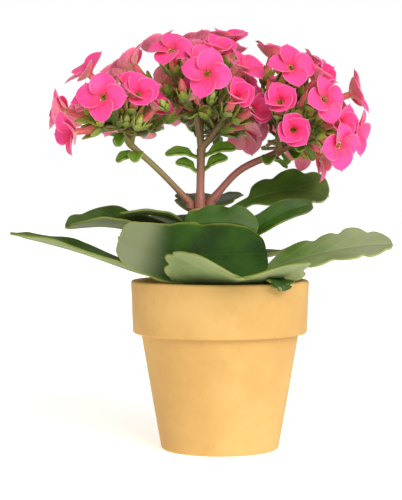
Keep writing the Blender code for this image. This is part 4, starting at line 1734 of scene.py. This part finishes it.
@dataclass(frozen=True)
class BudKind:
    """One age of closed bud: how many each head has, where they stand and how big they are.

    The calyx's length is in metres, or a share of the bud's length if it follows it.
    """

    counts: dict[Head, int]
    index: int
    reach: tuple[float, float]
    clear: float
    behind: float
    length: tuple[float, float]
    radius: tuple[float, float]
    calyx: tuple[float, float]
    calyx_follows: bool = False


BUD_KINDS = (
    BudKind({Head.LEFT: 8, Head.CENTRE: 13, Head.RIGHT: 12}, index=0, reach=(0.62, 0.92), clear=0.0022,
            behind=0.0105, length=(0.0085, 0.0112), radius=(0.0014, 0.0018), calyx=(0.0046, 0.0056)),
    BudKind({Head.LEFT: 10, Head.CENTRE: 18, Head.RIGHT: 16}, index=1, reach=(0.42, 0.74), clear=0.0018,
            behind=0.0060, length=(0.0040, 0.0062), radius=(0.0011, 0.0015), calyx=(0.62, 0.85),
            calyx_follows=True),
)


@dataclass
class Flowers:
    """Every open flower, half-open flower and bud."""

    growth: Growth
    blooms: Sequence[Bloom]
    seed: int = 3
    tries: int = 60
    under: float = 0.001
    cup_sink: float = 0.0034
    bud_ridges: float = 0.10
    bud_least: float = 0.05
    bud_rise: float = 0.55
    young_reach: tuple[float, float] = (0.80, 1.02)
    young_clear: float = 0.0046
    young_least: float = 0.12
    young_lift: tuple[float, float] = (38, 62)
    young_size: tuple[float, float] = (0.78, 0.92)
    young_sink: float = 0.004
    small_length: tuple[float, float] = (0.0055, 0.0080)
    small_width: tuple[float, float] = (3.2, 4.4)
    calyx_radius: float = 0.0021
    node_dip: float = 0.0004
    tightest: float = -0.0015
    bracts_per_node: int = 4
    young: dict[Head, int] = field(default_factory=lambda: {Head.LEFT: 9, Head.CENTRE: 14, Head.RIGHT: 12})
    taken: list[tuple[Vector, float]] = field(default_factory=list)

    def __post_init__(self) -> None:
        """Note the room that the open flowers take."""
        for bloom in self.blooms:
            self.taken += [(bloom.face, 0.0068), (bloom.face - bloom.facing * 0.005, 0.0022),
                           (bloom.face - bloom.facing * 0.009, 0.0024)]

    def finishes(self, palette: Palette) -> list[bpy.types.Material]:
        """The finishes of a flower, in the order of its material indices."""
        return [palette.petal_front, palette.petal_back, palette.tube, palette.pedicel, palette.sepal,
                palette.anther]

    def flower(self, chance: random.Random, lift: float, size: float) -> BMesh:
        """One flower at the origin, facing +Z.

        Args:
            chance: The source of random numbers.
            lift: How far its petals stand up from flat, in degrees.
            size: The petals' size, as a share of a full petal.

        Returns:
            Its mesh.
        """
        shape, sizes = bmesh.new(), FlowerShape(self.growth)
        sizes.add_petals(shape, chance, lift, size, (0, 1))
        sizes.add_tube(shape, (2, 3, 5))
        sizes.add_calyx(shape, chance, 4)
        sizes.add_stamens(shape, chance, 5)
        return shape

    def open_flowers(self, palette: Palette) -> None:
        """Build each open flower where its plain node is.

        Args:
            palette: The finishes.
        """
        chance = random.Random(self.seed)
        for number, bloom in enumerate(self.blooms):
            node = f"flower_{bloom.head.value}_{number + 1:02d}"
            lift = chance.uniform(2, 14) if bloom.facing.dot(FRONT) > 0.55 else chance.uniform(14, 46)
            shape = self.flower(chance, lift, 1.0)
            sink = bloom.facing * self.cup_sink * min(lift / 45, 1.0)
            place = facing_matrix(bloom.face - sink, bloom.facing, chance.uniform(-14, 14))
            bmesh.ops.transform(shape, matrix=place, verts=shape.verts)
            place_piece(node + "_bloom", shape, self.finishes(palette), [node], 1)

    def bud(self, chance: random.Random, length: float, radius: float, calyx: float, index: int) -> BMesh:
        """One closed bud with its calyx. Its tip is at the origin and points along +Z.

        Args:
            chance: The source of random numbers.
            length: From its tip to its calyx's foot.
            radius: Its greatest radius.
            calyx: The sepals' length.
            index: Material index of its skin.

        Returns:
            Its mesh.
        """
        shape = bmesh.new()
        outline = ((0.0, 0.0), (0.16, 0.035), (0.46, 0.16), (0.74, 0.32), (0.80, 0.45), (0.72, 0.62),
                   (0.90, 0.82), (0.94, 0.92), (0.5, 1.0), (0.0, 1.02))
        verts = spin_profile(shape, [(radius * wide, -length * down) for wide, down in outline], 12)
        twist = chance.uniform(2.0, 3.2)
        for vert in verts:
            turn = math.atan2(vert.co.y, vert.co.x) * 4 + twist * vert.co.z / length * math.tau * 0.5
            share = blend(-0.6 * length, -0.15 * length, vert.co.z)
            vert.co.xy *= 1 + self.bud_ridges * share * math.cos(turn)
        faces = list({face for vert in verts for face in vert.link_faces})
        for face in faces:
            face.material_index = index
        set_uv(shape, faces, lambda vert: (1 + vert.co.z / length,
                                           math.atan2(vert.co.y, vert.co.x) / math.tau + 0.5))
        sizes = FlowerShape(self.growth, sepal_length=calyx, sepal_half=1.15 * radius)
        leaves = bmesh.new()
        sizes.add_calyx(leaves, chance, 4, 0.6)
        foot = self.growth.tube_length + 0.0004 - length
        bmesh.ops.translate(leaves, vec=(0.0, 0.0, foot), verts=leaves.verts)
        hug = radius * 1.15 / self.calyx_radius
        bmesh.ops.scale(leaves, vec=(hug, hug, 1.0), verts=leaves.verts)
        join(shape, leaves)
        return shape

    def spots(self, count: int, head: Head, chance: random.Random, reach: tuple[float, float], clear: float,
              least: float, rise: float = 0.0, length: float = 0.0) -> list[tuple[Vector, Vector, Vector]]:
        """Find free places between the flowers of a head.

        Args:
            count: How many places.
            head: The head.
            chance: The source of random numbers.
            reach: Least and greatest distance from the cluster's node, as shares of a flower's.
            clear: Radius that the new piece keeps to itself.
            least: Least upward share of its direction.
            rise: How strongly it turns up.
            length: How far its foot lies behind its tip, or 0 if the foot may lie anywhere.

        Returns:
            Tip, facing and foot node of each place.
        """
        low, high = CAD_BOX
        found = []
        clusters = sorted({bloom.cluster for bloom in self.blooms if bloom.head is head})
        for number in range(count):
            cluster = clusters[number % len(clusters)]
            members = [bloom for bloom in self.blooms if bloom.head is head and bloom.cluster == cluster]
            node = self.growth.cluster_node(head, members)
            best, best_room = None, -1.0
            for _ in range(self.tries):
                member = chance.choice(members)
                away = member.face - node
                jitter = Vector([chance.gauss(0.0, 0.5) for _ in range(3)])
                way = (away.normalized() + jitter).normalized()
                tip = node + way * away.length * chance.uniform(*reach)
                facing = (way * 0.75 + member.facing * 0.25 + UP * rise).normalized()
                foot = tip - facing * length
                inside = all(low[axis] + clear / 2 < tip[axis] < high[axis] - clear / 2 for axis in range(3))
                inside = inside and way.z > least and tip.z > self.growth.bloom_middle().z + self.under
                inside = inside and (not length or foot.z > node.z - self.node_dip)
                room = min((tip - point).length - radius for point, radius in self.taken)
                if inside and room > best_room:
                    best, best_room = (tip, facing, node), room
            if best and best_room > self.tightest:
                found.append(best)
                self.taken += [(best[0], clear), (best[0] - best[1] * 0.004, clear * 0.6)]
        return found

    def stalk(self, shape: BMesh, node: Vector, foot: Vector, facing: Vector, radius: float) -> None:
        """Add a curved stalk from a cluster's node to the foot of a bud or flower.

        Args:
            shape: The mesh to add to.
            node: Where the stalk starts.
            foot: Where it ends.
            facing: The way it ends in.
            radius: Its radius at its end.
        """
        lead = foot - facing * (foot - node).length * 0.3
        dense = [smooth_path([node, lead, foot], share / 6)[0] for share in range(7)]
        first = len(shape.faces)
        sweep(shape, dense, [radius * 1.15] * 3 + [radius] * 4, 8)
        shape.faces.ensure_lookup_table()
        for face in shape.faces[first:]:
            face.material_index = 3

    def young_flowers(self, head: Head, palette: Palette) -> None:
        """Half-open flowers of one head, in one piece.

        Args:
            head: The head.
            palette: The finishes.
        """
        chance = random.Random(f"{self.seed} young {head.value}")
        shape = bmesh.new()
        spots = self.spots(self.young[head], head, chance, self.young_reach, self.young_clear,
                           self.young_least)
        for tip, facing, node in spots:
            flower = self.flower(chance, chance.uniform(*self.young_lift), chance.uniform(*self.young_size))
            back = tip - facing * self.young_sink
            matrix = facing_matrix(back, facing, chance.uniform(0, 90))
            bmesh.ops.transform(flower, matrix=matrix, verts=flower.verts)
            join(shape, flower)
            self.stalk(shape, node, back - facing * self.growth.flower_length(), facing, 0.00055)
        place_piece(f"young_flowers_{head.value}", shape, self.finishes(palette), (), 1)

    def buds(self, head: Head, palette: Palette) -> None:
        """Coloured and green buds of one head, in one piece.

        Args:
            head: The head.
            palette: The finishes.
        """
        chance = random.Random(f"{self.seed} buds {head.value}")
        finishes = [palette.bud_salmon, palette.bud_green, palette.tube, palette.pedicel, palette.sepal]
        shape = bmesh.new()
        for kind in BUD_KINDS:
            spots = self.spots(kind.counts[head], head, chance, kind.reach, kind.clear, self.bud_least,
                               self.bud_rise, kind.behind)
            for tip, facing, node in spots:
                length, radius = chance.uniform(*kind.length), chance.uniform(*kind.radius)
                calyx = chance.uniform(*kind.calyx) * (length if kind.calyx_follows else 1.0)
                bud = self.bud(chance, length, radius, calyx, kind.index)
                matrix = facing_matrix(tip, facing, chance.uniform(0, 90))
                bmesh.ops.transform(bud, matrix=matrix, verts=bud.verts)
                join(shape, bud)
                self.stalk(shape, node, tip - facing * length * 1.01, facing, 0.0005)
        place_piece(f"buds_{head.value}", shape, finishes, (), 1)

    def small_bracts(self, head: Head, palette: Palette) -> None:
        """The small leaves at the nodes of one head, in one piece.

        Args:
            head: The head.
            palette: The finishes.
        """
        chance = random.Random(f"{self.seed} bracts {head.value}")
        builder = BladeBuilder(stalk_half=0.0007, tip_half=0.0004, thickness=0.0005, crowding=1.2, rows=14,
                               columns=6)
        shape = bmesh.new()
        for cluster in sorted({bloom.cluster for bloom in self.blooms if bloom.head is head}):
            members = [bloom for bloom in self.blooms if bloom.head is head and bloom.cluster == cluster]
            node = self.growth.cluster_node(head, members)
            out = sum((bloom.face - node for bloom in members), Vector()).normalized()
            first_turn = chance.uniform(0, 360)
            for index in range(self.bracts_per_node):
                turn = Matrix.Rotation(math.radians(first_turn + 360 * index / self.bracts_per_node), 3, out)
                side = (turn @ out.orthogonal()).normalized()
                way = (side * chance.uniform(0.7, 1.0) + out * chance.uniform(0.3, 0.9)).normalized()
                length = chance.uniform(*self.small_length)
                foot = node + side * 0.0008 + out * chance.uniform(-0.002, 0.002)
                route = [foot, foot + (way * 0.55 + out * 0.1) * length, foot + way * length]
                width, roll = chance.uniform(*self.small_width), chance.uniform(-25, 25)
                blade = Blade(0, 0, (), width, 0.12, (roll, roll), 10, lobes=1, lobe_depth=0.0,
                              wave=0.1, curl=0.25, peak=0.46, tip_power=0.95)
                sheet(shape, builder.rows, builder.columns,
                      lambda along, across: builder.point(blade, route, along, -across),
                      builder.thickness, 0, 1)
        place_piece(f"small_bracts_{head.value}", shape, palette.skins[Skin.BRACT], (), 1)

    def build(self, palette: Palette) -> None:
        """Build every flower, bud and small bract.

        Args:
            palette: The finishes.
        """
        self.open_flowers(palette)
        for head in Head:
            self.young_flowers(head, palette)
            self.buds(head, palette)
            self.small_bracts(head, palette)


# ---------------------------------------------------------------- studio

@dataclass
class Studio:
    """Plain pale floor, soft light and the camera."""

    camera_distance: float = 0.570
    camera_height: float = 0.090
    aim: tuple[float, float, float] = (-0.0064, 0.0, 0.0671)
    lens: float = 121.7
    floor_size: float = 6.0
    key_place: tuple[float, float, float] = (0.34, -0.80, 0.58)
    key_power: float = 2.05
    fill_place: tuple[float, float, float] = (0.55, -0.45, 0.45)
    fill_power: float = 1.0

    def build(self) -> None:
        """Build the studio."""
        scene = bpy.context.scene
        scene.view_settings.view_transform = "Standard"
        self.floor()
        self.world(scene)
        self.lamp("key_light", "SUN", self.key_place, self.key_power, 0.6)
        self.lamp("fill_light", "AREA", self.fill_place, self.fill_power, 0.6)
        camera = bpy.data.objects.new("camera", bpy.data.cameras.new("camera"))
        camera.data.lens = self.lens
        camera.data.sensor_width = 36.0
        camera.data.clip_start = 0.01
        camera.location = (0.0, -self.camera_distance, self.camera_height)
        toward = Vector(self.aim) - camera.location
        camera.rotation_mode = "QUATERNION"
        camera.rotation_quaternion = toward.to_track_quat("-Z", "Y")
        scene.collection.objects.link(camera)
        scene.camera = camera

    def floor(self) -> None:
        """The pale floor."""
        shape = bmesh.new()
        bmesh.ops.create_grid(shape, x_segments=2, y_segments=2, size=self.floor_size / 2)
        made, tree, shader = start_material("floor_paper", 0.9)
        shader.inputs["Emission Color"].default_value = (1.0, 1.0, 1.0, 1.0)
        shader.inputs["Emission Strength"].default_value = 0.55
        patch = EFFECTS.place(tree, Effect.MOTTLE, Scale=30.0, Low=0.3, High=0.7)
        tree.tree.links.new(tree.mix(patch, colour("FAF8F4"), colour("FDFCF9")), shader.inputs["Base Color"])
        item = link_shape("floor", shape)
        item.data.materials.append(made)

    def world(self, scene: bpy.types.Scene) -> None:
        """White surroundings, dimmer and warmer as a light than as a background.

        Args:
            scene: The scene that they surround.
        """
        made = bpy.data.worlds.new("studio")
        made.use_nodes = True
        tree = Tree(made.node_tree)
        seen = tree.add("Background", {"Color": (1.0, 1.0, 1.0, 1.0), "Strength": 1.0})
        lit = tree.add("Background", {"Color": (1.0, 0.91, 0.80, 1.0), "Strength": 0.46})
        path = tree.add("LightPath")
        both = tree.add("MixShader", {0: path.outputs["Is Camera Ray"], 1: lit.outputs[0],
                                      2: seen.outputs[0]})
        tree.add("OutputWorld", {"Surface": both.outputs[0]})
        scene.world = made

    def lamp(self, name: str, kind: str, place: tuple[float, float, float], power: float,
             size: float) -> None:
        """Add a light that looks at the plant.

        Args:
            name: Its name.
            kind: SUN or AREA.
            place: Where it stands.
            power: Its strength.
            size: A sun's angle in radians, or an area light's side in metres.
        """
        data = bpy.data.lights.new(name, kind)
        data.energy = power
        if kind == "SUN":
            data.angle = size
        else:
            data.size = size
        item = bpy.data.objects.new(name, data)
        item.location = place
        item.rotation_mode = "QUATERNION"
        item.rotation_quaternion = (Vector(self.aim) - item.location).to_track_quat("-Z", "Y")
        bpy.context.scene.collection.objects.link(item)


def main() -> None:
    """Build the plant, its pot and the studio."""
    logging.basicConfig(level=logging.INFO, format="%(levelname)s %(message)s")
    pot_box, soil_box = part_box("pot"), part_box("soil")
    growth = Growth(pot_height=pot_box[1].z, rim_radius=pot_box[1].x, soil_top=soil_box[1].z)
    palette = Palette()
    blooms = growth.blooms()
    pot = ClayPot(growth)
    pot.build(palette)
    PottingSoil(growth, pot).build(palette)
    Stems(growth).build(blooms, palette)
    Foliage(growth).build(palette)
    Flowers(growth, blooms).build(palette)
    Studio().build()
    LOG.info("%d pieces, about %d triangles", len(PLACED.names), PLACED.triangles)


if __name__ == "__main__":
    main()
